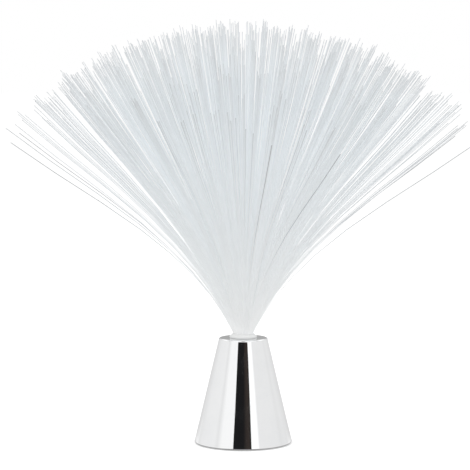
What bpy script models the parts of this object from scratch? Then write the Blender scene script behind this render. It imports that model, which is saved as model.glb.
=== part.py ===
# Battery fiber optic lamp: a spray of light-carrying plastic fibers standing in a bright cone-shaped base.
# Metres, +Z up. The origin lies on the table under the middle of the base, with the slide switch towards +X.

import math
import random

import bmesh
import bpy
from mathutils import Vector

MM = 0.001

# Fits that all the pieces share
SEAT_GAP = 0.3 * MM  # air kept between two pieces that touch on the real lamp
CUT_OVER = 1.0 * MM  # how far a cutter runs past the face that it opens
SINK = 0.5 * MM  # how far one moulded shape starts inside the next, so that the two fuse

# Housing: a thin moulded cone with a rounded top edge
HOUSING_BASE_RADIUS = 37.5 * MM
HOUSING_TOP_RADIUS = 18.5 * MM
HOUSING_HEIGHT = 80.5 * MM
HOUSING_WALL = 1.8 * MM
HOUSING_TOP_WALL = 2.0 * MM
HOUSING_LIP_RADIUS = 1.4 * MM
HOUSING_RIM_RADIUS = 0.7 * MM
HOUSING_STEPS = 64

# Feet: soft round pads set in shallow pockets of the base plate
FOOT_RADIUS = 3.4 * MM
FOOT_PROUD = 0.8 * MM  # how far the feet hold the housing's rim above the table
FOOT_POCKET_DEPTH = 0.5 * MM
FOOT_EDGE = 0.5 * MM
FOOT_SETBACK = 1.8 * MM  # from a foot's side to the plate's edge
FOOT_ANGLES = (43, 137, 223, 317)

# Base plate: the round cover that closes the cone and carries the battery bay
PLATE_THICKNESS = 2.0 * MM
PLATE_INSET = 1.0 * MM  # the plate's underside lies this far above the housing's rim

# Battery cells, laid side by side along Y with every second one turned round
CELL_COUNT = 3
CELL_RADIUS = 5.25 * MM
CELL_LENGTH = 44.5 * MM
CELL_PITCH = 10.9 * MM
CELL_EDGE = 0.7 * MM
NUB_RADIUS = 1.9 * MM
NUB_HEIGHT = 0.9 * MM

# Battery contacts
CONTACT_THICKNESS = 0.4 * MM
CONTACT_HEIGHT = 8.5 * MM
CONTACT_OVERHANG = 3.0 * MM  # how far a plate reaches past the middle of the outer cell
CONTACT_CORNER = 0.8 * MM
DIMPLE_HEIGHT = 0.6 * MM
DIMPLE_RADIUS = 2.2 * MM
DIMPLE_TIP_SHARE = 0.6  # of the dimple's radius
TAG_WIDTH = 2.4 * MM
TAG_RISE = 2.6 * MM  # how far a solder tag stands above the bay's roof
SPRING_LENGTH = 3.6 * MM
SPRING_WIRE = 0.5 * MM
SPRING_FOOT_RADIUS = 3.3 * MM
SPRING_TIP_RADIUS = 2.1 * MM
SPRING_TURNS = 2.5
SPRING_TURN_POINTS = 9

# Battery bay, moulded on the base plate
BAY_WALL = 2.0 * MM
BAY_ROOF = 1.3 * MM
BAY_CORNER_RADIUS = 5.5 * MM
BAY_LEDGE = 1.1 * MM  # how much wider than the bay the door's opening is, on each side
CRADLE_DEPTH = 0.8 * MM  # how far the roof comes down between two cells
CRADLE_SHARE = 0.7  # of a cell's width that is cut up into the roof over it

# Battery door, hinged on a steel pin at -Y and held by one screw at +Y
DOOR_HINGE_GAP = 0.8 * MM  # room that the door's edge needs to swing past the plate
DOOR_TONGUE_WIDTH = 8.4 * MM
DOOR_TONGUE_END = 2.6 * MM  # from the door screw's middle to the end of its tongue
PAD_THICKNESS = 1.0 * MM
PAD_WIDTH = 27.0 * MM
PAD_LENGTH = 30.0 * MM
PAD_CORNER = 2.0 * MM
HINGE_BARREL_RADIUS = 1.5 * MM
HINGE_BARREL_WIDTH = 14.0 * MM
HINGE_PIN_RADIUS = 0.8 * MM
HINGE_EAR_WIDTH = 3.0 * MM
HINGE_EAR_ROOF = 0.6 * MM  # how far an ear stands above the barrel
DOOR_BOSS_RADIUS = 2.8 * MM
DOOR_BOSS_HEIGHT = 6.4 * MM
DOOR_BOSS_SETBACK = 2.0 * MM  # from the bay's end wall to the door screw's middle
DOOR_SCREW_PLAY = 0.5 * MM  # the swinging screw needs this much air in its boss

# Screws: (head radius, head height, shank radius, shank length)
COVER_SCREW = (2.7 * MM, 1.9 * MM, 1.3 * MM, 9.5 * MM)
DOOR_SCREW = (2.2 * MM, 1.2 * MM, 1.0 * MM, 5.6 * MM)
SWITCH_SCREW = (1.7 * MM, 1.2 * MM, 0.9 * MM, 4.4 * MM)
SOCKET_SCREW = (2.3 * MM, 1.5 * MM, 1.1 * MM, 6.4 * MM)
BOARD_SCREW = (2.0 * MM, 1.4 * MM, 1.0 * MM, 6.2 * MM)
SCREW_CROWN_SHARE = 0.6  # of a pan head's radius that is flat on top
SCREW_SIDE_SHARE = 0.5  # of a pan head's height that is upright
SCREW_STEPS = 12

# Cover screws and their bosses: one on either side of the switch, one opposite
COVER_BOSS_RADIUS = 3.2 * MM
COVER_BOSS_HEIGHT = 9.0 * MM
COVER_BOSS_BITE = 1.1 * MM  # how far the top of a boss reaches into the cone's wall
COVER_SWITCH_ROOM = 0.9 * MM  # between a boss and the switch's ear
COVER_STANDOFF_HEIGHT = 2.0 * MM
COVER_SEAT = 1.5 * MM  # plastic left between the screw's head and the housing's boss

# Slide switch
SWITCH_SETBACK = 6.4 * MM  # from the middle of the switch to the inside of the cone
SWITCH_LENGTH = 10.0 * MM
SWITCH_WIDTH = 5.0 * MM
SWITCH_HEIGHT = 5.0 * MM
SWITCH_EAR_LENGTH = 19.0 * MM
SWITCH_EAR_THICKNESS = 0.6 * MM
SWITCH_SCREW_SPACING = 15.0 * MM
SWITCH_POST_RADIUS = 2.2 * MM
SWITCH_POST_HEIGHT = 2.2 * MM
SWITCH_TRAVEL = 2.5 * MM
SWITCH_SLOT_DEPTH = 1.8 * MM
SWITCH_PIN_PITCH = 2.5 * MM
SWITCH_PIN_WIDTH = 1.0 * MM
SWITCH_PIN_THICKNESS = 0.5 * MM
SWITCH_PIN_HEIGHT = 3.0 * MM
LEVER_SIDE = 2.0 * MM
LEVER_LENGTH = 4.0 * MM
KNOB_LENGTH = 4.6 * MM
KNOB_WIDTH = 4.0 * MM
KNOB_FLANGE_LENGTH = 7.2 * MM
KNOB_FLANGE_WIDTH = 6.0 * MM
KNOB_FLANGE_THICKNESS = 0.8 * MM
KNOB_PROUD = 0.7 * MM  # how far the knob stands below the base plate
KNOB_GROOVE_WIDTH = 0.5 * MM
KNOB_GROOVE_DEPTH = 0.4 * MM
KNOB_GROOVES = 3

# Fiber bundle and its white ferrule
BUNDLE_RADIUS = 7.5 * MM
FERRULE_RADIUS = 9.0 * MM
FERRULE_DEPTH = 31.5 * MM  # from the collar's underside to the polished end
COLLAR_RADIUS = 10.5 * MM
COLLAR_EDGE = 0.9 * MM
COLLAR_RISE = 2.8 * MM
COLLAR_MOUTH_LIP = 0.6 * MM
FERRULE_STEPS = 36

# Fibers: six tufts, each one sixth of the bundle, laid out in a triangular lattice
TUFT_COUNT = 6
TUFT_KINDS = 3  # opposite tufts are alike, so the spray stays centred on the cone's axis
TUFT_ROWS = 8
FIBER_LENGTH = 243.0 * MM
FIBER_SIDE = 0.62 * MM
FIBER_RELAX_LENGTH = 72.0 * MM  # length over which a fiber settles into its final lean
FIBER_STATION_SHARES = (0.14, 0.42, 1.0)  # of the fiber's length, where its sides bend
FIBER_LEAN = math.radians(46)  # lean of a fiber at the edge of the dense spray
FIBER_EDGE_LEAN = math.radians(22)  # the most that an outermost fiber strays beyond that
FIBER_EDGE_POWER = 7
FIBER_STRAY_POWER = 1.5  # few of the outermost fibers stray far
FIBER_MOUTH_SHARE = 0.43  # of its final lean that a fiber has at the mouth
FIBER_SWIRL = math.radians(14)  # how far the bundle's natural twist turns a fiber's heading
FIBER_JITTER = math.radians(1.6)
FIBER_SHORTER_SHARE = 0.035
FIBER_SEED = 51
FIBER_SEED_STEP = 100  # from one kind of tuft to the next

# Fiber socket: the white tube that hangs in the cone, with a flange at each end
SOCKET_WALL = 1.5 * MM
SOCKET_FLANGE = 1.5 * MM
SOCKET_FLANGE_EDGE = 0.5 * MM  # from a screw's head to the top flange's edge
SOCKET_TOP_FLANGE_DROP = 5.0 * MM  # from the housing's ceiling to the top flange
SOCKET_BOSS_RADIUS = 2.5 * MM
SOCKET_RIB_THICKNESS = 1.2 * MM
SOCKET_RIB_REACH = 4.2 * MM
SOCKET_STEPS = 32

# Light engine under the bundle
BOARD_LENGTH = 31.0 * MM
BOARD_WIDTH = 22.0 * MM
BOARD_THICKNESS = 1.6 * MM
BOARD_CORNER_SHARE = 0.45  # of the board's width
BOARD_SCREW_OFFSET = 12.9 * MM
BOARD_BOSS_RADIUS = 2.2 * MM
BOARD_BOSS_HEIGHT = 4.0 * MM
LED_RADIUS = 2.5 * MM
LED_FLANGE_RADIUS = 2.9 * MM
LED_FLANGE_HEIGHT = 1.0 * MM
LED_HEIGHT = 8.6 * MM
LED_CIRCLE_RADIUS = 4.3 * MM
LED_COUNT = 3
LED_CLEARANCE = 1.2 * MM  # from the tips of the LEDs to the polished end
REFLECTOR_WALL = 0.6 * MM
REFLECTOR_FOOT_WALL = 1.5 * MM
RESISTOR_RADIUS = 1.1 * MM
RESISTOR_LENGTH = 6.0 * MM
CHIP_LENGTH = 5.0 * MM
CHIP_WIDTH = 4.0 * MM
CHIP_THICKNESS = 1.5 * MM
PARTS_OFFSET = 5.0 * MM  # chip and resistor lie this far either side of the board's middle

# Wires
WIRE_RADIUS = 0.6 * MM
WIRE_STEPS = 18
WIRE_RISE = 4.0 * MM
WIRE_PAD_OFFSET = 8.5 * MM  # where the wires meet the board, from its middle

# Heights above the table, from the feet up
RIM_Z = FOOT_PROUD
PLATE_Z = RIM_Z + PLATE_INSET
PLATE_TOP_Z = PLATE_Z + PLATE_THICKNESS
DOOR_TOP_Z = PLATE_TOP_Z - SEAT_GAP
CELL_Z = PLATE_TOP_Z + PAD_THICKNESS + SEAT_GAP + CELL_RADIUS
BAY_CEILING_Z = CELL_Z + CELL_RADIUS + SEAT_GAP
BAY_TOP_Z = BAY_CEILING_Z + BAY_ROOF
HINGE_Z = PLATE_Z + HINGE_BARREL_RADIUS
HOUSING_TOP_Z = RIM_Z + HOUSING_HEIGHT
CEILING_Z = HOUSING_TOP_Z - HOUSING_TOP_WALL
COLLAR_Z = HOUSING_TOP_Z + SEAT_GAP
MOUTH_Z = COLLAR_Z + COLLAR_RISE
POLISHED_END_Z = COLLAR_Z - FERRULE_DEPTH
LED_TIP_Z = POLISHED_END_Z - LED_CLEARANCE
BOARD_TOP_Z = LED_TIP_Z - LED_HEIGHT - SEAT_GAP
BOARD_Z = BOARD_TOP_Z - BOARD_THICKNESS
SOCKET_Z = BOARD_TOP_Z + SEAT_GAP
SOCKET_TOP_FLANGE_Z = CEILING_Z - SOCKET_TOP_FLANGE_DROP
SWITCH_Z = PLATE_TOP_Z + SWITCH_POST_HEIGHT + SEAT_GAP
SWITCH_TOP_Z = SWITCH_Z + SWITCH_HEIGHT + SWITCH_PIN_HEIGHT
COVER_BOSS_Z = PLATE_TOP_Z + COVER_STANDOFF_HEIGHT + SEAT_GAP
COVER_BOSS_TOP_Z = COVER_BOSS_Z + COVER_BOSS_HEIGHT
WALL_TILT = math.atan((HOUSING_BASE_RADIUS - HOUSING_TOP_RADIUS) / HOUSING_HEIGHT)


def wall_radius(z):
    """Outer radius of the housing's cone at a height."""
    share = (z - RIM_Z) / HOUSING_HEIGHT
    return HOUSING_BASE_RADIUS + (HOUSING_TOP_RADIUS - HOUSING_BASE_RADIUS) * share


def inner_radius(z):
    return wall_radius(z) - HOUSING_WALL / math.cos(WALL_TILT)


# Sizes that follow from the ones above
HOLE_RADIUS = FERRULE_RADIUS + SEAT_GAP
SOCKET_RADIUS = HOLE_RADIUS + SOCKET_WALL
SOCKET_SCREW_CIRCLE = SOCKET_RADIUS + SEAT_GAP + SOCKET_BOSS_RADIUS
SOCKET_TOP_FLANGE_RADIUS = SOCKET_SCREW_CIRCLE + SOCKET_SCREW[0] + SOCKET_FLANGE_EDGE
FOOT_CIRCLE_RADIUS = inner_radius(PLATE_Z) - FOOT_SETBACK - FOOT_RADIUS
SWITCH_X = inner_radius(SWITCH_TOP_Z) - SWITCH_SETBACK
COVER_SCREW_CIRCLE = inner_radius(COVER_BOSS_TOP_Z) + COVER_BOSS_BITE - COVER_BOSS_RADIUS
COVER_SCREW_Y = SWITCH_EAR_LENGTH / 2 + SEAT_GAP + COVER_SWITCH_ROOM + COVER_BOSS_RADIUS
COVER_SCREW_ANGLE = math.degrees(math.asin(COVER_SCREW_Y / COVER_SCREW_CIRCLE))
COVER_SCREW_ANGLES = (COVER_SCREW_ANGLE, 180, -COVER_SCREW_ANGLE)
BAY_GAPS = 5  # at both end walls, at both ends of the spring and at the nub
BAY_HALF_WIDTH = (CELL_COUNT - 1) * CELL_PITCH / 2 + CELL_RADIUS + SEAT_GAP
CELL_CHAIN = CELL_LENGTH + SPRING_LENGTH + DIMPLE_HEIGHT + 2 * CONTACT_THICKNESS
BAY_HALF_LENGTH = (CELL_CHAIN + BAY_GAPS * SEAT_GAP) / 2
BAY_INNER_CORNER = BAY_CORNER_RADIUS - BAY_WALL
OPENING_HALF_WIDTH = BAY_HALF_WIDTH + BAY_LEDGE
OPENING_HALF_LENGTH = BAY_HALF_LENGTH + BAY_LEDGE
OPENING_CORNER_RADIUS = BAY_INNER_CORNER + BAY_LEDGE
DOOR_CORNER_RADIUS = OPENING_CORNER_RADIUS - SEAT_GAP
BAY_END_Y = BAY_HALF_LENGTH + BAY_WALL
HINGE_Y = -(BAY_END_Y + SEAT_GAP + HINGE_BARREL_RADIUS)
DOOR_SCREW_Y = BAY_END_Y + DOOR_BOSS_SETBACK
CELL_SHIFT = BAY_HALF_LENGTH - 2 * SEAT_GAP - CONTACT_THICKNESS - DIMPLE_HEIGHT - CELL_LENGTH / 2
CONTACT_FACE_Y = BAY_HALF_LENGTH - SEAT_GAP - CONTACT_THICKNESS
KNOB_Y = -SWITCH_TRAVEL / 2


def clear_scene():
    for old in list(bpy.data.objects):
        bpy.data.objects.remove(old, do_unlink=True)


def new_collection(name):
    collection = bpy.data.collections.new(name)
    bpy.context.scene.collection.children.link(collection)
    return collection


clear_scene()
LAMP = new_collection("fiber_optic_lamp")
CUTTERS = new_collection("cutters")


def material(name, colour, roughness, metallic=0.0):
    """A Principled BSDF material, made once for each name."""
    made = bpy.data.materials.get(name)
    if made is None:
        made = bpy.data.materials.new(name)
        made.use_nodes = True
        shader = made.node_tree.nodes["Principled BSDF"]
        shader.inputs["Base Color"].default_value = (*colour, 1.0)
        shader.inputs["Roughness"].default_value = roughness
        shader.inputs["Metallic"].default_value = metallic
    return made


def bright_chrome():
    return material("bright_chrome", (0.86, 0.87, 0.88), 0.05, 1.0)


def black_plastic():
    return material("black_plastic", (0.03, 0.03, 0.035), 0.45)


def white_plastic():
    return material("white_plastic", (0.88, 0.89, 0.88), 0.4)


def clear_fiber():
    return material("clear_fiber", (0.86, 0.9, 0.91), 0.2)


def bright_metal():
    return material("bright_metal", (0.7, 0.7, 0.68), 0.3, 1.0)


def soft_rubber():
    return material("soft_rubber", (0.05, 0.05, 0.05), 0.8)


def place(name, mesh, finish, location=(0, 0, 0), turn=0.0):
    """Links a mesh as one named piece of the lamp, turned about Z."""
    piece = bpy.data.objects.new(name, mesh)
    if not mesh.materials:
        mesh.materials.append(finish)
    LAMP.objects.link(piece)
    piece.location = location
    piece.rotation_euler = (0, 0, turn)
    return piece


def helper(mesh, location=(0, 0, 0), turn=0.0):
    """Links a mesh as a shape that only cuts or joins, and is left out of the lamp."""
    piece = bpy.data.objects.new("shape", mesh)
    CUTTERS.objects.link(piece)
    piece.location = location
    piece.rotation_euler = (0, 0, turn)
    piece.hide_render = True
    piece.display_type = "WIRE"
    return piece


def combine(piece, other, operation):
    step = piece.modifiers.new(operation.lower(), "BOOLEAN")
    step.operation = operation
    step.object = other
    step.solver = "EXACT"


def fuse(piece, mesh, location=(0, 0, 0), turn=0.0):
    combine(piece, helper(mesh, location, turn), "UNION")


def cut(piece, mesh, location=(0, 0, 0), turn=0.0):
    combine(piece, helper(mesh, location, turn), "DIFFERENCE")


def mesh_from(bm, name):
    mesh = bpy.data.meshes.new(name)
    bm.to_mesh(mesh)
    bm.free()
    return mesh


def drum(radius, bottom, top, steps=24, top_radius=None, axis="Z"):
    """A cylinder or cone between two heights, or lying along X between two places."""
    bm = bmesh.new()
    end = radius if top_radius is None else top_radius
    depth = top - bottom
    bmesh.ops.create_cone(bm, cap_ends=True, segments=steps, radius1=radius, radius2=end, depth=depth)
    bmesh.ops.translate(bm, verts=bm.verts, vec=(0, 0, (top + bottom) / 2))
    if axis == "X":
        for vert in bm.verts:
            vert.co = Vector((vert.co.z, vert.co.y, -vert.co.x))
    return mesh_from(bm, "drum")


def block(width, length, bottom, top, corner=0.0, steps=4):
    """A box between two heights, with its upright edges rounded."""
    bm = bmesh.new()
    bmesh.ops.create_cube(bm, size=1)
    bmesh.ops.scale(bm, verts=bm.verts, vec=(width, length, top - bottom))
    bmesh.ops.translate(bm, verts=bm.verts, vec=(0, 0, (top + bottom) / 2))
    if corner > 0:
        upright = [e for e in bm.edges if abs(e.verts[0].co.z - e.verts[1].co.z) > corner * 1e-3]
        bmesh.ops.bevel(bm, geom=upright, offset=corner, segments=steps, profile=0.5, affect="EDGES")
    return mesh_from(bm, "block")


def arc(centre_r, centre_z, radius, start, end, steps):
    """Points (r, z) of an arc in a turned profile, with both angles in degrees."""
    angles = [math.radians(start + (end - start) * i / steps) for i in range(steps + 1)]
    return [(centre_r + radius * math.cos(a), centre_z + radius * math.sin(a)) for a in angles]


def profile_mesh(points, closed):
    bm = bmesh.new()
    corners = [bm.verts.new((r, 0, z)) for r, z in points]
    for first, second in zip(corners, corners[1:]):
        bm.edges.new((first, second))
    if closed:
        bm.edges.new((corners[-1], corners[0]))
    return mesh_from(bm, "profile")


def turned(name, points, finish, steps, closed=False, location=(0, 0, 0)):
    """A piece turned about its own Z axis, from a profile that runs down its outer side."""
    piece = place(name, profile_mesh(points, closed), finish, location)
    screw = piece.modifiers.new("turn", "SCREW")
    screw.steps = screw.render_steps = steps
    screw.use_merge_vertices = True
    screw.merge_threshold = SEAT_GAP / 100
    screw.use_smooth_shade = True
    return piece


def shade(piece, angle=35):
    piece.data.shade_smooth()
    piece.data.set_sharp_from_angle(angle=math.radians(angle))
    return piece


def on_circle(radius, degrees):
    return radius * math.cos(math.radians(degrees)), radius * math.sin(math.radians(degrees))


def housing_profile():
    """Over the top face, round the lip, down the cone, under the rim and back up inside."""
    tilt = math.degrees(WALL_TILT)
    lip_z = HOUSING_TOP_Z - HOUSING_LIP_RADIUS
    rim_z = RIM_Z + HOUSING_RIM_RADIUS
    lip_r = wall_radius(lip_z) - HOUSING_LIP_RADIUS / math.cos(WALL_TILT)
    rim_r = wall_radius(rim_z) - HOUSING_RIM_RADIUS / math.cos(WALL_TILT)
    return (
        [(HOLE_RADIUS, HOUSING_TOP_Z)]
        + arc(lip_r, lip_z, HOUSING_LIP_RADIUS, 90, tilt, 4)
        + arc(rim_r, rim_z, HOUSING_RIM_RADIUS, tilt, -90, 3)
        + [(inner_radius(RIM_Z), RIM_Z)]
        + [(inner_radius(CEILING_Z), CEILING_Z)]
        + [(HOLE_RADIUS, CEILING_Z)]
    )


def make_housing():
    piece = turned("housing", housing_profile(), bright_chrome(), HOUSING_STEPS, closed=True)
    screw_end = PLATE_Z + COVER_SCREW[1] + COVER_SCREW[3] + 2 * SEAT_GAP
    for angle in COVER_SCREW_ANGLES:
        x, y = on_circle(COVER_SCREW_CIRCLE, angle)
        fuse(piece, drum(COVER_BOSS_RADIUS, COVER_BOSS_Z, COVER_BOSS_TOP_Z, 16), (x, y, 0))
        cut(piece, drum(COVER_SCREW[2] + SEAT_GAP, COVER_BOSS_Z - CUT_OVER, screw_end, 12), (x, y, 0))
    for side in (-1, 1):
        spot = (0, side * SOCKET_SCREW_CIRCLE, 0)
        foot = SOCKET_TOP_FLANGE_Z + SEAT_GAP
        fuse(piece, drum(SOCKET_BOSS_RADIUS, foot, CEILING_Z + SINK, 16), spot)
        pilot = SOCKET_SCREW[2] + SEAT_GAP
        cut(piece, drum(pilot, foot - CUT_OVER, CEILING_Z - SEAT_GAP, 12), spot)
    return piece


def base_plate_profile():
    """A disc whose edge follows the inside of the cone."""
    return [
        (0, PLATE_TOP_Z),
        (inner_radius(PLATE_TOP_Z) - SEAT_GAP, PLATE_TOP_Z),
        (inner_radius(PLATE_TOP_Z) - SEAT_GAP, PLATE_Z),
        (0, PLATE_Z),
    ]


def cell_places():
    """(x, direction) of each cell, where direction is +1 if its plus end points to +Y."""
    first = -(CELL_COUNT - 1) * CELL_PITCH / 2
    return [(first + i * CELL_PITCH, 1 if i % 2 else -1) for i in range(CELL_COUNT)]


def add_battery_bay(piece):
    """The box that the cells lie in, its cradles and the opening that the door closes."""
    outer_width = 2 * (BAY_HALF_WIDTH + BAY_WALL)
    fuse(piece, block(outer_width, 2 * BAY_END_Y, PLATE_TOP_Z - SINK, BAY_TOP_Z, BAY_CORNER_RADIUS))
    cradle_z = BAY_CEILING_Z - CRADLE_DEPTH
    inner_width = 2 * BAY_HALF_WIDTH
    cut(piece, block(inner_width, 2 * BAY_HALF_LENGTH, PLATE_Z - CUT_OVER, cradle_z, BAY_INNER_CORNER))
    cradle_length = 2 * (CONTACT_FACE_Y + CONTACT_THICKNESS)
    cradle = block(CRADLE_SHARE * 2 * CELL_RADIUS, cradle_length, cradle_z - SINK, BAY_CEILING_Z, SINK, 2)
    for x, _ in cell_places():
        cut(piece, cradle, (x, 0, 0))
    width, length = 2 * OPENING_HALF_WIDTH, 2 * OPENING_HALF_LENGTH
    cut(piece, block(width, length, PLATE_Z - CUT_OVER, PLATE_TOP_Z, OPENING_CORNER_RADIUS))


def add_hinge_ears(piece):
    """Two ears either side of the notch that the door's hinge barrel lies in."""
    notch_half = HINGE_BARREL_WIDTH / 2 + SEAT_GAP
    ear_far_y = HINGE_Y - HINGE_BARREL_RADIUS - SEAT_GAP
    ear_near_y = -(BAY_END_Y - SINK)
    ear_top = HINGE_Z + HINGE_BARREL_RADIUS + HINGE_EAR_ROOF
    ear = block(HINGE_EAR_WIDTH, ear_near_y - ear_far_y, PLATE_TOP_Z - SINK, ear_top)
    for side in (-1, 1):
        spot = (side * (notch_half + HINGE_EAR_WIDTH / 2), (ear_near_y + ear_far_y) / 2, 0)
        fuse(piece, ear, spot)
    notch_length = OPENING_HALF_LENGTH + ear_far_y
    notch = block(2 * notch_half, abs(notch_length) + SINK, PLATE_Z - CUT_OVER, PLATE_TOP_Z)
    cut(piece, notch, (0, -(OPENING_HALF_LENGTH + (abs(notch_length) - SINK) / 2), 0))
    reach = notch_half + HINGE_EAR_WIDTH + SEAT_GAP
    bore = drum(HINGE_PIN_RADIUS + SEAT_GAP, -reach, reach, 12, axis="X")
    cut(piece, bore, (0, HINGE_Y, HINGE_Z))


def add_door_boss(piece):
    """The boss that takes the door's screw, and the opening for the door's tongue."""
    far_y = DOOR_SCREW_Y + DOOR_TONGUE_END + SEAT_GAP
    near_y = OPENING_HALF_LENGTH - SINK
    width = DOOR_TONGUE_WIDTH + 2 * SEAT_GAP
    boss_top = PLATE_TOP_Z + DOOR_BOSS_HEIGHT
    fuse(piece, drum(DOOR_BOSS_RADIUS, PLATE_TOP_Z - SINK, boss_top, 16), (0, DOOR_SCREW_Y, 0))
    roof_near = BAY_END_Y - SINK
    roof_far = far_y + BAY_LEDGE
    roof_width = width + 2 * BAY_LEDGE
    roof = block(roof_width, roof_far - roof_near, PLATE_TOP_Z - SINK, PLATE_TOP_Z + BAY_ROOF)
    fuse(piece, roof, (0, (roof_far + roof_near) / 2, 0))
    slot = block(width, far_y - near_y, PLATE_Z - CUT_OVER, PLATE_TOP_Z)
    cut(piece, slot, (0, (far_y + near_y) / 2, 0))
    pilot = drum(DOOR_SCREW[2] + DOOR_SCREW_PLAY, PLATE_Z, boss_top + CUT_OVER, 12)
    cut(piece, pilot, (0, DOOR_SCREW_Y, 0))


def add_cover_screw_seats(piece):
    for angle in COVER_SCREW_ANGLES:
        x, y = on_circle(COVER_SCREW_CIRCLE, angle)
        top = PLATE_TOP_Z + COVER_STANDOFF_HEIGHT
        fuse(piece, drum(COVER_BOSS_RADIUS + SEAT_GAP, PLATE_TOP_Z - SINK, top, 16), (x, y, 0))
        head = drum(COVER_SCREW[0] + SEAT_GAP, PLATE_Z - CUT_OVER, top - COVER_SEAT, 16)
        cut(piece, head, (x, y, 0))
        cut(piece, drum(COVER_SCREW[2] + SEAT_GAP, PLATE_Z, top + CUT_OVER, 12), (x, y, 0))


def add_switch_seat(piece):
    """Two screw posts and the slot that the knob slides in."""
    top = PLATE_TOP_Z + SWITCH_POST_HEIGHT
    screw_end = SWITCH_Z + SWITCH_EAR_THICKNESS - SWITCH_SCREW[3]
    for side in (-1, 1):
        spot = (SWITCH_X, side * SWITCH_SCREW_SPACING / 2, 0)
        fuse(piece, drum(SWITCH_POST_RADIUS, PLATE_TOP_Z - SINK, top, 16), spot)
        cut(piece, drum(SWITCH_SCREW[2] + SEAT_GAP, screw_end, top + CUT_OVER, 12), spot)
    length = KNOB_LENGTH + SWITCH_TRAVEL + 2 * SEAT_GAP
    slot = block(KNOB_WIDTH + 2 * SEAT_GAP, length, PLATE_Z - CUT_OVER, PLATE_TOP_Z + CUT_OVER)
    cut(piece, slot, (SWITCH_X, 0, 0))


def make_base_plate():
    piece = turned("base_plate", base_plate_profile(), black_plastic(), HOUSING_STEPS)
    add_battery_bay(piece)
    add_hinge_ears(piece)
    add_door_boss(piece)
    add_cover_screw_seats(piece)
    add_switch_seat(piece)
    pocket = drum(FOOT_RADIUS + SEAT_GAP, PLATE_Z - CUT_OVER, PLATE_Z + FOOT_POCKET_DEPTH, 16)
    for angle in FOOT_ANGLES:
        x, y = on_circle(FOOT_CIRCLE_RADIUS, angle)
        cut(piece, pocket, (x, y, 0))
    for x, tag_y, _ in end_contacts():
        across, through = TAG_WIDTH + 2 * SEAT_GAP, CONTACT_THICKNESS + 2 * SEAT_GAP
        cut(piece, block(across, through, CELL_Z, BAY_TOP_Z + CUT_OVER), (x, tag_y, 0))
    return piece


def make_feet():
    top = PLATE_Z + FOOT_POCKET_DEPTH - SEAT_GAP
    points = [
        (0, top),
        (FOOT_RADIUS, top),
        (FOOT_RADIUS, FOOT_EDGE),
        (FOOT_RADIUS - FOOT_EDGE, 0),
        (0, 0),
    ]
    for number, angle in enumerate(FOOT_ANGLES, 1):
        x, y = on_circle(FOOT_CIRCLE_RADIUS, angle)
        turned(f"foot_{number}", points, soft_rubber(), 16, location=(x, y, 0))


def pan_screw_profile(sizes):
    """Profile of an upright pan-head screw with its seat at z = 0 and its head above."""
    head_radius, head_height, shank_radius, shank_length = sizes
    return [
        (0, head_height),
        (head_radius * SCREW_CROWN_SHARE, head_height),
        (head_radius, head_height * SCREW_SIDE_SHARE),
        (head_radius, 0),
        (shank_radius, 0),
        (shank_radius, -shank_length + shank_radius),
        (0, -shank_length),
    ]


def flat_screw_profile(sizes):
    """Profile of an upright flat-head screw, with the flat of its head at z = 0."""
    head_radius, head_height, shank_radius, shank_length = sizes
    return [
        (0, 0),
        (head_radius, 0),
        (shank_radius, -head_height),
        (shank_radius, -head_height - shank_length + shank_radius),
        (0, -head_height - shank_length),
    ]


def screw(name, points, x, y, seat_z, upwards):
    """A turned screw. Driven upwards, its head is below its shank."""
    if upwards:
        points = [(r, -z) for r, z in reversed(points)]
    return turned(name, points, bright_metal(), SCREW_STEPS, location=(x, y, seat_z))


def make_cover_screws():
    points = pan_screw_profile(COVER_SCREW)
    seat = PLATE_TOP_Z + COVER_STANDOFF_HEIGHT - COVER_SEAT - SEAT_GAP
    for number, angle in enumerate(COVER_SCREW_ANGLES, 1):
        x, y = on_circle(COVER_SCREW_CIRCLE, angle)
        screw(f"cover_screw_{number}", points, x, y, seat, upwards=True)


def make_cells():
    """Turned cells that stand on their minus end, then are laid down along Y."""
    half = CELL_LENGTH / 2
    shoulder = half - NUB_HEIGHT
    points = (
        [(0, half), (NUB_RADIUS, half), (NUB_RADIUS, shoulder)]
        + [(CELL_RADIUS - CELL_EDGE, shoulder), (CELL_RADIUS, shoulder - CELL_EDGE)]
        + [(CELL_RADIUS, CELL_EDGE - half), (CELL_RADIUS - CELL_EDGE, -half)]
        + [(0, -half)]
    )
    finish = material("cell_sleeve", (0.55, 0.58, 0.6), 0.35, 0.2)
    for number, (x, direction) in enumerate(cell_places(), 1):
        cell = turned(f"battery_{number}", points, finish, 18)
        cell.location = (x, direction * CELL_SHIFT, CELL_Z)
        cell.rotation_euler = (-direction * math.pi / 2, 0, 0)


def end_contacts():
    """(x, y, is plus) of the two contacts that carry a solder tag."""
    (first_x, first_way), (last_x, last_way) = cell_places()[0], cell_places()[-1]
    middle = BAY_HALF_LENGTH - SEAT_GAP - CONTACT_THICKNESS / 2
    return [(first_x, -first_way * middle, False), (last_x, last_way * middle, True)]


def contact_plate(name, left, right, side):
    """A thin upright plate in front of the bay's end wall, on the +Y or -Y side."""
    half = CONTACT_THICKNESS / 2
    plate = block(right - left, CONTACT_HEIGHT, -half, half, CONTACT_CORNER, 2)
    piece = place(name, plate, bright_metal())
    y = side * (BAY_HALF_LENGTH - SEAT_GAP - CONTACT_THICKNESS / 2)
    piece.location = ((left + right) / 2, y, CELL_Z)
    piece.rotation_euler = (math.pi / 2, 0, 0)
    return piece


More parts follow.
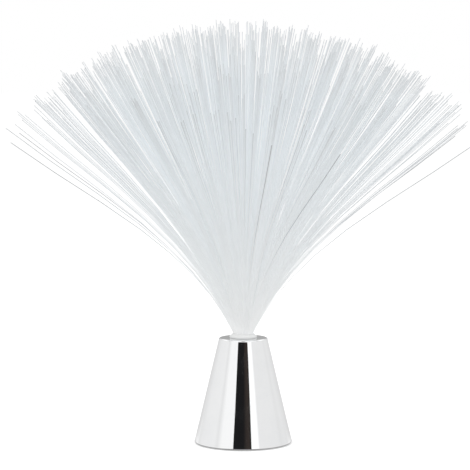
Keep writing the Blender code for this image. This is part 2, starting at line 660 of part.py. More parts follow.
def add_dimple(piece, x, side):
    """The raised button that a cell's nub presses on."""
    tip = DIMPLE_RADIUS * DIMPLE_TIP_SHARE
    shape = helper(drum(DIMPLE_RADIUS, -CONTACT_THICKNESS / 2, DIMPLE_HEIGHT, 14, top_radius=tip))
    shape.location = (x, side * CONTACT_FACE_Y, CELL_Z)
    shape.rotation_euler = (side * math.pi / 2, 0, 0)
    combine(piece, shape, "UNION")


def make_contacts():
    """One plate for each free end and one bridge for each pair of neighbouring cells."""
    (first, first_way), (middle, middle_way), (last, last_way) = cell_places()
    edge = CONTACT_OVERHANG
    minus = contact_plate("contact_minus", first - edge, first + edge, -first_way)
    rear = contact_plate("contact_bridge_rear", first - edge, middle + edge, first_way)
    front = contact_plate("contact_bridge_front", middle - edge, last + edge, middle_way)
    plus = contact_plate("contact_plus", last - edge, last + edge, last_way)
    add_dimple(rear, first, first_way)
    add_dimple(front, middle, middle_way)
    add_dimple(plus, last, last_way)
    tag_top = BAY_TOP_Z + TAG_RISE
    for piece, (x, y, _) in zip((minus, plus), end_contacts()):
        tag = block(TAG_WIDTH, CONTACT_THICKNESS, CELL_Z + CONTACT_HEIGHT / 2 - SINK, tag_top)
        fuse(piece, tag, (x, y, 0))


def spring_points():
    """A conical coil along +Z that starts and ends straight, square to what it meets."""
    count = int(SPRING_TURNS * SPRING_TURN_POINTS)
    start, end = SPRING_WIRE, SPRING_LENGTH - SPRING_WIRE
    points = [(SPRING_FOOT_RADIUS, 0, 0)]
    for i in range(count + 1):
        share = i / count
        angle = 2 * math.pi * SPRING_TURNS * share
        radius = SPRING_FOOT_RADIUS + (SPRING_TIP_RADIUS - SPRING_FOOT_RADIUS) * share
        z = start + (end - start) * share
        points.append((radius * math.cos(angle), radius * math.sin(angle), z))
    last = points[-1]
    points.append((last[0], last[1], SPRING_LENGTH))
    return [Vector(p) for p in points]


def print_least_gap(name, points, wire, apart):
    """Prints the least air between a tube and itself, measured on points at least so many apart."""
    least = min(
        (points[i] - points[j]).length - wire
        for i in range(len(points))
        for j in range(i + apart, len(points))
    )
    print(f"{name}: least gap to itself {least / MM:.2f} mm")


def tube(name, points, radius, finish, detail):
    """A round wire along the points, as a curve with filled caps."""
    curve = bpy.data.curves.new(name, "CURVE")
    curve.dimensions = "3D"
    spline = curve.splines.new("POLY")
    spline.points.add(len(points) - 1)
    for spot, point in zip(spline.points, points):
        spot.co = (*point, 1)
    curve.bevel_depth = radius
    curve.bevel_resolution = detail
    curve.use_fill_caps = True
    curve.materials.append(finish)
    piece = bpy.data.objects.new(name, curve)
    LAMP.objects.link(piece)
    return piece


def make_springs():
    """A coil between each cell's minus end and its contact."""
    points = spring_points()
    print_least_gap("battery_spring", points, SPRING_WIRE, SPRING_TURN_POINTS // 2)
    for number, (x, direction) in enumerate(cell_places(), 1):
        spring = tube(f"battery_spring_{number}", points, SPRING_WIRE / 2, bright_metal(), 1)
        spring.location = (x, -direction * (CONTACT_FACE_Y - SEAT_GAP), CELL_Z)
        spring.rotation_euler = (-direction * math.pi / 2, 0, 0)


def make_battery_door():
    """The door, its round hinge barrel and the tongue that the screw goes through."""
    half_width = OPENING_HALF_WIDTH - SEAT_GAP
    far_y = OPENING_HALF_LENGTH - SEAT_GAP
    near_y = DOOR_HINGE_GAP - OPENING_HALF_LENGTH
    hinge = (0, HINGE_Y, HINGE_Z)
    panel = block(2 * half_width, far_y - near_y, PLATE_Z, DOOR_TOP_Z, DOOR_CORNER_RADIUS)
    piece = place("battery_door", panel, black_plastic(), hinge)
    for vert in piece.data.vertices:
        vert.co += Vector((0, (far_y + near_y) / 2, 0)) - Vector(hinge)
    shade(piece)
    strap = block(HINGE_BARREL_WIDTH, near_y + CUT_OVER - HINGE_Y, PLATE_Z, DOOR_TOP_Z)
    fuse(piece, strap, (0, (near_y + CUT_OVER + HINGE_Y) / 2, 0))
    half = HINGE_BARREL_WIDTH / 2
    fuse(piece, drum(HINGE_BARREL_RADIUS, -half, half, 24, axis="X"), hinge)
    reach = half + CUT_OVER
    cut(piece, drum(HINGE_PIN_RADIUS + SEAT_GAP, -reach, reach, 12, axis="X"), hinge)
    tongue_end = DOOR_SCREW_Y + DOOR_TONGUE_END
    tongue_start = far_y - DOOR_CORNER_RADIUS
    tongue = block(DOOR_TONGUE_WIDTH, tongue_end - tongue_start, PLATE_Z, DOOR_TOP_Z)
    fuse(piece, tongue, (0, (tongue_end + tongue_start) / 2, 0))
    rest = PLATE_Z + DOOR_SCREW[1]
    hole = DOOR_SCREW[2] + SEAT_GAP
    countersink = drum(DOOR_SCREW[0] + SEAT_GAP, PLATE_Z - SEAT_GAP / 2, rest, 16, top_radius=hole)
    cut(piece, countersink, (0, DOOR_SCREW_Y, 0))
    cut(piece, drum(hole, PLATE_Z, DOOR_TOP_Z + CUT_OVER, 12), (0, DOOR_SCREW_Y, 0))
    return piece


def make_door_fittings():
    """The pin that the door turns on, its screw and the foam pad that steadies the cells."""
    pin_half = HINGE_BARREL_WIDTH / 2 + SEAT_GAP + HINGE_EAR_WIDTH
    pin = place("hinge_pin", drum(HINGE_PIN_RADIUS, -pin_half, pin_half, 12, axis="X"), bright_metal())
    pin.location = (0, HINGE_Y, HINGE_Z)
    shade(pin)
    screw("door_screw", flat_screw_profile(DOOR_SCREW), 0, DOOR_SCREW_Y, PLATE_Z, upwards=True)
    pad_mesh = block(PAD_WIDTH, PAD_LENGTH, 0, PAD_THICKNESS, PAD_CORNER, 3)
    foam = material("grey_foam", (0.2, 0.2, 0.21), 0.95)
    place("door_pad", pad_mesh, foam, (0, 0, DOOR_TOP_Z + SEAT_GAP))


def make_switch():
    """The switch's metal can with its ears and pins, the lever and the knob."""
    can = block(SWITCH_WIDTH, SWITCH_LENGTH, 0, SWITCH_HEIGHT)
    body = place("switch_body", can, bright_metal(), (SWITCH_X, 0, SWITCH_Z))
    base = (SWITCH_X, 0, SWITCH_Z)
    fuse(body, block(SWITCH_WIDTH, SWITCH_EAR_LENGTH, 0, SWITCH_EAR_THICKNESS, SINK, 2), base)
    slot_length = LEVER_SIDE + SWITCH_TRAVEL + 2 * SEAT_GAP
    slot = block(LEVER_SIDE + 2 * SEAT_GAP, slot_length, -CUT_OVER, SWITCH_SLOT_DEPTH)
    cut(body, slot, base)
    for side in (-1, 1):
        hole = drum(SWITCH_SCREW[2] + SEAT_GAP, -CUT_OVER, SWITCH_EAR_THICKNESS + CUT_OVER, 12)
        cut(body, hole, (SWITCH_X, side * SWITCH_SCREW_SPACING / 2, SWITCH_Z))
        points = pan_screw_profile(SWITCH_SCREW)
        seat = SWITCH_Z + SWITCH_EAR_THICKNESS + SEAT_GAP
        spot_y = side * SWITCH_SCREW_SPACING / 2
        number = 1 if side < 0 else 2
        screw(f"switch_screw_{number}", points, SWITCH_X, spot_y, seat, upwards=False)
    for i in (-1, 0, 1):
        pin_top = SWITCH_HEIGHT + SWITCH_PIN_HEIGHT
        pin = block(SWITCH_PIN_THICKNESS, SWITCH_PIN_WIDTH, SWITCH_HEIGHT - SINK, pin_top)
        fuse(body, pin, (SWITCH_X, i * SWITCH_PIN_PITCH, SWITCH_Z))
    lever_top = SWITCH_Z + SWITCH_SLOT_DEPTH - SEAT_GAP
    lever = block(LEVER_SIDE, LEVER_SIDE, lever_top - LEVER_LENGTH, lever_top)
    place("switch_lever", lever, black_plastic(), (SWITCH_X, KNOB_Y, 0))
    make_switch_knob(lever_top - LEVER_LENGTH)


def make_switch_knob(lever_end):
    bottom = PLATE_Z - KNOB_PROUD
    flange_z = PLATE_TOP_Z + SEAT_GAP
    top = flange_z + KNOB_FLANGE_THICKNESS
    spot = (SWITCH_X, KNOB_Y, 0)
    knob = place("switch_knob", block(KNOB_WIDTH, KNOB_LENGTH, bottom, top), black_plastic(), spot)
    flange = block(KNOB_FLANGE_WIDTH, KNOB_FLANGE_LENGTH, flange_z, top)
    fuse(knob, flange, spot)
    pocket = LEVER_SIDE + 2 * SEAT_GAP
    cut(knob, block(pocket, pocket, lever_end - SEAT_GAP, top + CUT_OVER), spot)
    across = KNOB_WIDTH + 2 * CUT_OVER
    groove = block(across, KNOB_GROOVE_WIDTH, bottom - CUT_OVER, bottom + KNOB_GROOVE_DEPTH)
    pitch = KNOB_LENGTH / (KNOB_GROOVES + 1)
    for i in range(KNOB_GROOVES):
        y = KNOB_Y + (i + 1) * pitch - KNOB_LENGTH / 2
        cut(knob, groove, (SWITCH_X, y, 0))


def make_ferrule():
    """The white sleeve that the bundle is potted in, with its sloping collar."""
    mouth = BUNDLE_RADIUS + SEAT_GAP
    points = [
        (mouth, MOUTH_Z),
        (mouth + COLLAR_MOUTH_LIP, MOUTH_Z),
        (COLLAR_RADIUS, COLLAR_Z + COLLAR_EDGE),
        (COLLAR_RADIUS, COLLAR_Z),
        (FERRULE_RADIUS, COLLAR_Z),
        (FERRULE_RADIUS, POLISHED_END_Z + SINK),
        (FERRULE_RADIUS - SINK, POLISHED_END_Z),
        (mouth, POLISHED_END_Z),
    ]
    return turned("ferrule", points, white_plastic(), FERRULE_STEPS, closed=True)


def fiber_reach(lean, length, steps=24):
    """(outwards, upwards) that a fiber has come after a length, as it settles into its lean."""
    outwards = upwards = 0.0
    for i in range(steps):
        middle = length * (i + 0.5) / steps
        angle = fiber_angle(lean, middle)
        outwards += math.sin(angle) * length / steps
        upwards += math.cos(angle) * length / steps
    return outwards, upwards


def fiber_angle(lean, length):
    return lean * (1 - (1 - FIBER_MOUTH_SHARE) * math.exp(-length / FIBER_RELAX_LENGTH))


def fiber_lean(root, chance):
    """(lean, heading) of the fiber that starts at a root point of the bundle."""
    share = root.xy.length / BUNDLE_RADIUS
    stray = chance.random() ** FIBER_STRAY_POWER
    lean = FIBER_LEAN * share + FIBER_EDGE_LEAN * stray * share**FIBER_EDGE_POWER
    heading = math.atan2(root.y, root.x) + FIBER_SWIRL * math.sin(2 * math.pi * share)
    u = lean * math.cos(heading) + chance.uniform(-FIBER_JITTER, FIBER_JITTER)
    v = lean * math.sin(heading) + chance.uniform(-FIBER_JITTER, FIBER_JITTER)
    return math.hypot(u, v), math.atan2(v, u)


def bundle_slice():
    """One sixth of the bundle as a flat lattice of triangles, round along its outer edge."""
    bm = bmesh.new()
    apex_gap = SEAT_GAP / (2 * math.sin(math.pi / TUFT_COUNT))
    centre = (BUNDLE_RADIUS - apex_gap) * 2 / 3
    bmesh.ops.create_circle(bm, cap_ends=True, segments=3, radius=centre)
    tip = max((v.co for v in bm.verts), key=lambda co: co.x * co.x + co.y * co.y).copy()
    turn = math.pi - math.atan2(tip.y, tip.x)
    for vert in bm.verts:
        angle = math.atan2(vert.co.y, vert.co.x) + turn
        radius = vert.co.length
        vert.co = (radius * math.cos(angle) + centre, radius * math.sin(angle), 0)
    bmesh.ops.subdivide_edges(bm, edges=bm.edges[:], cuts=TUFT_ROWS - 1, use_grid_fill=True)
    for vert in bm.verts:
        angle = math.atan2(vert.co.y, vert.co.x)
        reach = vert.co.x
        vert.co = (reach * math.cos(angle) + apex_gap, reach * math.sin(angle), POLISHED_END_Z)
    return bm


def tuft_mesh(kind):
    """A potted slice of the bundle whose every small face grows into one bending fiber."""
    chance = random.Random(FIBER_SEED + FIBER_SEED_STEP * kind)
    bm = bundle_slice()
    strand = bm.faces.layers.int.new("strand")
    raised = bmesh.ops.extrude_face_region(bm, geom=bm.faces[:])["geom"]
    tops = [f for f in raised if isinstance(f, bmesh.types.BMFace)]
    for vert in [v for v in raised if isinstance(v, bmesh.types.BMVert)]:
        vert.co.z = MOUTH_Z
    fibers = []
    for face in tops:
        face[strand] = len(fibers)
        root = face.calc_center_median()
        corners = [v.co - root for v in face.verts]
        widest = max((a - b).length for a in corners for b in corners)
        offsets = [c * FIBER_SIDE / widest for c in corners]
        lean, heading = fiber_lean(root, chance)
        length = FIBER_LENGTH * (1 - chance.uniform(0, FIBER_SHORTER_SHARE))
        fibers.append((root, offsets, lean, heading, length))
    for share in FIBER_STATION_SHARES:
        tops = bmesh.ops.extrude_discrete_faces(bm, faces=tops)["faces"]
        for face in tops:
            root, offsets, lean, heading, length = fibers[face[strand]]
            outwards, upwards = fiber_reach(lean, length * share)
            middle = root + Vector((outwards * math.cos(heading), outwards * math.sin(heading), upwards))
            angle = fiber_angle(lean, length * share)
            level = math.sin(angle)
            way = Vector((level * math.cos(heading), level * math.sin(heading), math.cos(angle)))
            turn = Vector((0, 0, 1)).rotation_difference(way)
            for vert, offset in zip(face.verts, offsets):
                vert.co = middle + turn @ offset
    bm.faces.layers.int.remove(strand)
    bmesh.ops.recalc_face_normals(bm, faces=bm.faces)
    return mesh_from(bm, "tuft")


def make_tufts():
    for number in range(TUFT_COUNT):
        turn = 2 * math.pi * number / TUFT_COUNT
        mesh = tuft_mesh(number % TUFT_KINDS)
        place(f"fiber_tuft_{number + 1}", mesh, clear_fiber(), turn=turn)


def board_outline(bottom, top):
    return block(BOARD_LENGTH, BOARD_WIDTH, bottom, top, BOARD_WIDTH * BOARD_CORNER_SHARE, 6)


def make_fiber_socket():
    """The guide tube with its top flange, its foot for the board, and four ribs between."""
    top_z = CEILING_Z - SEAT_GAP
    flange_top = SOCKET_TOP_FLANGE_Z
    points = [
        (0, top_z),
        (SOCKET_RADIUS, top_z),
        (SOCKET_RADIUS, flange_top),
        (SOCKET_TOP_FLANGE_RADIUS, flange_top),
        (SOCKET_TOP_FLANGE_RADIUS, flange_top - SOCKET_FLANGE),
        (SOCKET_RADIUS, flange_top - SOCKET_FLANGE),
        (SOCKET_RADIUS, SOCKET_Z),
        (0, SOCKET_Z),
    ]
    piece = turned("fiber_socket", points, white_plastic(), SOCKET_STEPS)
    fuse(piece, board_outline(SOCKET_Z, SOCKET_Z + SOCKET_FLANGE))
    for side in (-1, 1):
        boss_top = SOCKET_Z + SOCKET_FLANGE + BOARD_BOSS_HEIGHT
        spot = (side * BOARD_SCREW_OFFSET, 0, 0)
        fuse(piece, drum(BOARD_BOSS_RADIUS, SOCKET_Z + SINK, boss_top, 12), spot)
        rib_half = SOCKET_RADIUS + SOCKET_RIB_REACH / 2 - SINK
        rib_bottom = boss_top - SINK
        rib = block(SOCKET_RIB_REACH, SOCKET_RIB_THICKNESS, rib_bottom, flange_top - SINK)
        fuse(piece, rib, (side * rib_half, 0, 0))
    cut(piece, drum(HOLE_RADIUS, SOCKET_Z - CUT_OVER, top_z + CUT_OVER, SOCKET_STEPS))
    for side in (-1, 1):
        hole = drum(BOARD_SCREW[2] + SEAT_GAP, SOCKET_Z - CUT_OVER, BOARD_Z + BOARD_SCREW[3], 12)
        cut(piece, hole, (side * BOARD_SCREW_OFFSET, 0, 0))
        flange_z = flange_top - SOCKET_FLANGE
        clear = drum(SOCKET_SCREW[2] + SEAT_GAP, flange_z - CUT_OVER, flange_top + CUT_OVER, 12)
        cut(piece, clear, (0, side * SOCKET_SCREW_CIRCLE, 0))
        seat = flange_z - SEAT_GAP
        points = pan_screw_profile(SOCKET_SCREW)
        number = 1 if side < 0 else 2
        screw(f"socket_screw_{number}", points, 0, side * SOCKET_SCREW_CIRCLE, seat, upwards=True)
    return piece


def led_places():
    return [on_circle(LED_CIRCLE_RADIUS, 90 + 360 * i / LED_COUNT) for i in range(LED_COUNT)]


def make_light_engine():
    """The board with its LEDs, reflector, chip and resistor, and the screws that hold it."""
    laminate = material("board_green", (0.05, 0.25, 0.12), 0.4)
    board = place("circuit_board", board_outline(BOARD_Z, BOARD_TOP_Z), laminate)
    hole = drum(BOARD_SCREW[2] + SEAT_GAP, BOARD_Z - CUT_OVER, BOARD_TOP_Z + CUT_OVER, 12)
    for side in (-1, 1):
        x = side * BOARD_SCREW_OFFSET
        cut(board, hole, (x, 0, 0))
        points = pan_screw_profile(BOARD_SCREW)
        number = 1 if side < 0 else 2
        screw(f"board_screw_{number}", points, x, 0, BOARD_Z - SEAT_GAP, upwards=True)
    base = BOARD_TOP_Z + SEAT_GAP
    dome_z = LED_TIP_Z - LED_RADIUS
    led = [(r, z) for r, z in arc(0, dome_z, LED_RADIUS, 90, 0, 4)]
    led[0] = (0, led[0][1])
    led += [
        (LED_RADIUS, base + LED_FLANGE_HEIGHT),
        (LED_FLANGE_RADIUS, base + LED_FLANGE_HEIGHT),
        (LED_FLANGE_RADIUS, base),
        (0, base),
    ]
    epoxy = material("led_epoxy", (0.85, 0.88, 0.9), 0.1)
    for number, (x, y) in enumerate(led_places(), 1):
        turned(f"led_{number}", led, epoxy, 12, location=(x, y, 0))
    outer = HOLE_RADIUS - SEAT_GAP
    rim = POLISHED_END_Z - SEAT_GAP
    cup = [(outer - REFLECTOR_WALL, rim), (outer, rim), (outer, base), (outer - REFLECTOR_FOOT_WALL, base)]
    turned("led_reflector", cup, white_plastic(), 24, closed=True)
    under = BOARD_Z - SEAT_GAP
    chip = block(CHIP_LENGTH, CHIP_WIDTH, under - CHIP_THICKNESS, under)
    place("control_chip", chip, black_plastic(), (0, PARTS_OFFSET, 0))
    bead = drum(RESISTOR_RADIUS, -RESISTOR_LENGTH / 2, RESISTOR_LENGTH / 2, 12, axis="X")
    finish = material("resistor_tan", (0.7, 0.6, 0.45), 0.5)
    shade(place("resistor", bead, finish, (0, -PARTS_OFFSET, under - RESISTOR_RADIUS)))


def smooth_route(places, count):
    """Evenly stepped points of a smooth curve through the places."""
    knots = [places[0], *places, places[-1]]
    spans = len(places) - 1
    route = []
    for i in range(count + 1):
        at = min(i * spans / count, spans - 1e-9)
        span = int(at)
        t = at - span
        a, b, c, d = (Vector(knots[span + k]) for k in range(4))
        bend = (2 * a - 5 * b + 4 * c - d) * t**2 + (3 * b - a - 3 * c + d) * t**3
        route.append((2 * b + (c - a) * t + bend) / 2)
    return route


def make_wires():
    """Minus lead, plus lead to the switch, and the switched lead up to the board."""
    (minus_x, minus_y, _), (plus_x, plus_y, _) = end_contacts()
    tag_z = BAY_TOP_Z + TAG_RISE + SEAT_GAP
    pin_z = SWITCH_Z + SWITCH_HEIGHT + SWITCH_PIN_HEIGHT + SEAT_GAP
    pad_z = BOARD_Z - SEAT_GAP
    pad = WIRE_PAD_OFFSET / 2
    high = (tag_z + pad_z) / 2
    red = material("wire_red", (0.6, 0.04, 0.03), 0.5)
    black = material("wire_black", (0.03, 0.03, 0.03), 0.5)
    minus = [
        (minus_x, minus_y, tag_z),
        (minus_x, minus_y, tag_z + WIRE_RISE),
        (minus_x * 0.8, minus_y * 0.6, high),
        (-WIRE_PAD_OFFSET, pad, pad_z - WIRE_RISE),
        (-WIRE_PAD_OFFSET, pad, pad_z),
    ]
    plus = [
        (plus_x, plus_y, tag_z),
        (plus_x, plus_y, tag_z + WIRE_RISE),
        (SWITCH_X * 0.75, plus_y * 0.55, tag_z + WIRE_RISE),
        (SWITCH_X, -SWITCH_PIN_PITCH, pin_z + WIRE_RISE),
        (SWITCH_X, -SWITCH_PIN_PITCH, pin_z),
    ]
    switched = [
        (SWITCH_X, 0, pin_z),
        (SWITCH_X, 0, pin_z + WIRE_RISE),
        (SWITCH_X * 0.6, pad, high),
        (WIRE_PAD_OFFSET, pad, pad_z - WIRE_RISE),
        (WIRE_PAD_OFFSET, pad, pad_z),
    ]
    tube("wire_battery_minus", smooth_route(minus, WIRE_STEPS), WIRE_RADIUS, black, 1)
    tube("wire_battery_plus", smooth_route(plus, WIRE_STEPS), WIRE_RADIUS, red, 1)
    tube("wire_switched", smooth_route(switched, WIRE_STEPS), WIRE_RADIUS, red, 1)


def main():
    make_housing()
    make_base_plate()
    make_feet()
    make_cover_screws()
    make_cells()
    make_contacts()
    make_springs()
    make_battery_door()
    make_door_fittings()
    make_switch()
    make_fiber_socket()
    make_light_engine()
    make_wires()
    make_ferrule()
    make_tufts()


main()
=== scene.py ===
# Looks of a battery fiber optic lamp: a chrome cone, a white collar and a wide spray of clear fibers.
# Metres, +Z up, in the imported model's own frame.
import math
import random

import bmesh
import bpy
from mathutils import Matrix, Vector


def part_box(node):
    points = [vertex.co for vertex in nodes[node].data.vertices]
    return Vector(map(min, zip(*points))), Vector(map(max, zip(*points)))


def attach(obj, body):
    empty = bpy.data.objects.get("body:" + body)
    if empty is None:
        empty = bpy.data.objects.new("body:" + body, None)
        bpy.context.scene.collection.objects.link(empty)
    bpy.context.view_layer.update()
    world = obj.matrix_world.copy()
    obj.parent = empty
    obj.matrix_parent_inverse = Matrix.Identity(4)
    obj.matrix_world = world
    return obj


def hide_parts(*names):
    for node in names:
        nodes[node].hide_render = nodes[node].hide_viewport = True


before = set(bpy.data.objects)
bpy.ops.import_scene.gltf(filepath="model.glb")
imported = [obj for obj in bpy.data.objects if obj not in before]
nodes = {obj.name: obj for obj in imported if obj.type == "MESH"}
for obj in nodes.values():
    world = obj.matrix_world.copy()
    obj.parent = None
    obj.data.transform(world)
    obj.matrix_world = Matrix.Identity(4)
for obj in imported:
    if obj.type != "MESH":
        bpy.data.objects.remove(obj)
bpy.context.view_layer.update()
mm = 0.001
print("frame loaded:", len(nodes), "nodes")


# Camera, as in the photograph
photoView = {
    "place": (-6.3 * mm, -1650 * mm, 304.4 * mm),
    "downwards": math.radians(5.0),
    "focalPixels": 2172,
    "framePixels": 470,
    "sensor": 36,
}


def addCamera(view):
    data = bpy.data.cameras.new("photoCamera")
    data.sensor_width = view["sensor"]
    data.lens = view["sensor"] * view["focalPixels"] / view["framePixels"]
    data.clip_start, data.clip_end = 0.05, 50
    camera = bpy.data.objects.new("photoCamera", data)
    camera.location = view["place"]
    camera.rotation_euler = (math.pi / 2 - view["downwards"], 0, 0)
    bpy.context.scene.collection.objects.link(camera)
    bpy.context.scene.camera = camera


addCamera(photoView)
bpy.context.scene.view_settings.view_transform = "Standard"
print("camera placed")


# Node helpers
def addNode(tree, kind, inputs=None, **settings):
    node = tree.nodes.new(kind)
    for name, value in settings.items():
        setattr(node, name, value)
    for name, value in (inputs or {}).items():
        socket = node.inputs[name]
        if isinstance(value, bpy.types.NodeSocket):
            tree.links.new(value, socket)
        else:
            socket.default_value = value
    return node


def calculate(tree, operation, first, second=0.0, third=0.0):
    inputs = {0: first, 1: second, 2: third}
    return addNode(tree, "ShaderNodeMath", inputs, operation=operation).outputs[0]


def ramp(tree, factor, stops):
    node = addNode(tree, "ShaderNodeValToRGB", {"Fac": factor})
    while len(node.color_ramp.elements) < len(stops):
        node.color_ramp.elements.new(0.5)
    for element, (place, colour) in zip(node.color_ramp.elements, stops):
        element.position = place
        element.color = (*colour, 1) if isinstance(colour, tuple) else (colour, colour, colour, 1)
    return node.outputs["Color"]


def mixColour(tree, factor, first, second):
    node = addNode(tree, "ShaderNodeMix", data_type="RGBA")
    for socket, value in ((node.inputs[0], factor), (node.inputs[6], first), (node.inputs[7], second)):
        if isinstance(value, bpy.types.NodeSocket):
            tree.links.new(value, socket)
        else:
            socket.default_value = value if isinstance(value, float) else (*value, 1)
    return node.outputs[2]


def blendValues(tree, factor, low, high):
    return addNode(
        tree, "ShaderNodeMapRange", {"Value": factor, "To Min": low, "To Max": high}
    ).outputs[0]


def easedStep(tree, value, ends, start=0.0, end=1.0):
    inputs = {"Value": value, "From Min": ends[0], "From Max": ends[1], "To Min": start, "To Max": end}
    return addNode(tree, "ShaderNodeMapRange", inputs, interpolation_type="SMOOTHSTEP").outputs[0]


def degreesRound(tree, x, y):
    # from -Y, where the camera stands, towards +X
    backwards = calculate(tree, "MULTIPLY", y, -1.0)
    return calculate(tree, "DEGREES", calculate(tree, "ARCTAN2", x, backwards))


def tonesRound(tree, degrees, tones):
    share = calculate(tree, "MULTIPLY_ADD", degrees, 1 / 360, 0.5)
    return ramp(tree, share, [(angle / 360 + 0.5, tone) for angle, tone in tones])


# Studio: a white room whose walls only shiny surfaces see in detail
studio = {
    "level": 0.86,  # light that falls on the lamp from all sides
    "floorSize": 12, "floorPaper": (0.8, 0.8, 0.8, 1), "floorLift": 0.36,  # as the camera sees the floor
    "floorGlow": 0.55,  # what the floor throws back up
    "floorIor": 1.49,
    "floorInMetal": (  # how bright shiny surfaces see it, by metres from the lamp; darker close to the lamp as a painted shadow
        (0.0, 0.27), (0.042, 0.3), (0.055, 0.58), (0.2, 0.7), (0.7, 0.72), (1.5, 0.78),
    ),
    "floorPanels": (  # painted reflection of the room in the floor's sheen, by degrees round
        (-180, 0.76), (-145, 0.76), (-128, 1.0), (-100, 1.0), (-90, 0.6), (-70, 0.68), (-62, 1.0),
        (-28, 1.0), (-25, 0.04), (19, 0.04), (22, 1.0), (50, 1.0), (58, 0.66), (84, 0.58), (92, 1.0),
        (120, 1.0), (142, 0.76), (180, 0.76),
    ),
    "overhead": 1.12,
    "overheadFrom": (24, 34),  # elevation in degrees where the walls turn into the bright ceiling
    "beamsFrom": (37.5, 40.5),  # elevations between which the dark beams of the ceiling show
    "beamsTo": (66, 74),
    "beamEvery": 90, "beamEdge": (6, 17), "beamTone": 0.08,  # degrees round, and how dark
    "cardLeft": -24.4,  # dark gap behind the camera, degrees round from -Y towards +X
    "cardRight": 19.8,
    "cardTop": 21.5,
    "cardCorner": 3.0,
    "cardTones": (  # brightness of the gap by degrees; its right half is brownish
        (-25, (0.012, 0.012, 0.013)), (1, (0.011, 0.011, 0.012)), (6, (0.03, 0.024, 0.022)),
        (15, (0.042, 0.033, 0.03)), (17, (0.02, 0.017, 0.016)), (20, (0.014, 0.013, 0.013)),
    ),
}
wallTonesKept = 0.8  # the tones pass through a ramp at this share, because it ends at 1
# brightness of the room's walls by degrees round from -Y, towards +X
wallTones = (
    (-180, 0.42), (-166, 0.5), (-152, 0.72), (-131, 0.83), (-115, 0.88), (-75, 0.90), (-66, 0.83),
    (-54, 0.99), (0, 1.0), (19, 1.14), (36, 1.12), (40, 0.86), (95, 0.85), (104, 0.81), (120, 0.84),
    (150, 0.75), (166, 0.52), (180, 0.42),
)


def makeWorld():
    world = bpy.data.worlds.new("studio")
    bpy.context.scene.world = world
    world.use_nodes = True
    tree = world.node_tree
    background = tree.nodes["Background"]
    direction = addNode(tree, "ShaderNodeTexCoord").outputs["Generated"]
    x, y, z = addNode(tree, "ShaderNodeSeparateXYZ", {0: direction}).outputs
    degrees = degreesRound(tree, x, y)
    rise = calculate(tree, "DEGREES", calculate(tree, "ARCSINE", z))
    walls = tonesRound(tree, degrees, [(angle, tone * wallTonesKept) for angle, tone in wallTones])
    walls = addNode(
        tree, "ShaderNodeVectorMath", {0: walls, 3: 1 / wallTonesKept}, operation="SCALE"
    ).outputs[0]
    # a tall card with rounded top corners
    middle = (studio["cardLeft"] + studio["cardRight"]) / 2
    half = (studio["cardRight"] - studio["cardLeft"]) / 2
    corner = studio["cardCorner"]
    aside = calculate(tree, "ABSOLUTE", calculate(tree, "SUBTRACT", degrees, middle))
    squares = []
    for measure, reach in ((aside, half), (rise, studio["cardTop"])):
        past = calculate(tree, "MAXIMUM", calculate(tree, "SUBTRACT", measure, reach - corner), 0.0)
        squares.append(calculate(tree, "POWER", past, 2.0))
    outside = calculate(tree, "SQRT", calculate(tree, "ADD", *squares))
    inCard = calculate(tree, "LESS_THAN", outside, corner)
    card = tonesRound(tree, degrees, studio["cardTones"])
    ceiling = (studio["overhead"],) * 3
    room = mixColour(tree, easedStep(tree, rise, studio["overheadFrom"]), walls, ceiling)
    room = mixColour(tree, inCard, room, card)
    # dark beams that run down from the ceiling's middle
    apart = studio["beamEvery"] / 2
    fromBeam = calculate(tree, "ABSOLUTE", calculate(tree, "WRAP", degrees, apart, -apart))
    low, high = studio["beamEdge"]
    between = addNode(
        tree, "ShaderNodeMapRange", {"Value": fromBeam, "From Min": low, "From Max": high}
    ).outputs[0]
    beams = mixColour(tree, between, (studio["beamTone"],) * 3, ceiling)
    above = easedStep(tree, rise, studio["beamsFrom"])
    below = easedStep(tree, rise, studio["beamsTo"], 1.0, 0.0)
    room = mixColour(tree, calculate(tree, "MULTIPLY", above, below), room, beams)
    path = addNode(tree, "ShaderNodeLightPath").outputs
    seen = mixColour(tree, path["Is Glossy Ray"], (studio["level"],) * 3, room)
    white = calculate(tree, "MAXIMUM", path["Is Camera Ray"], path["Is Transmission Ray"])
    tree.links.new(mixColour(tree, white, seen, (1.0, 1.0, 1.0)), background.inputs["Color"])


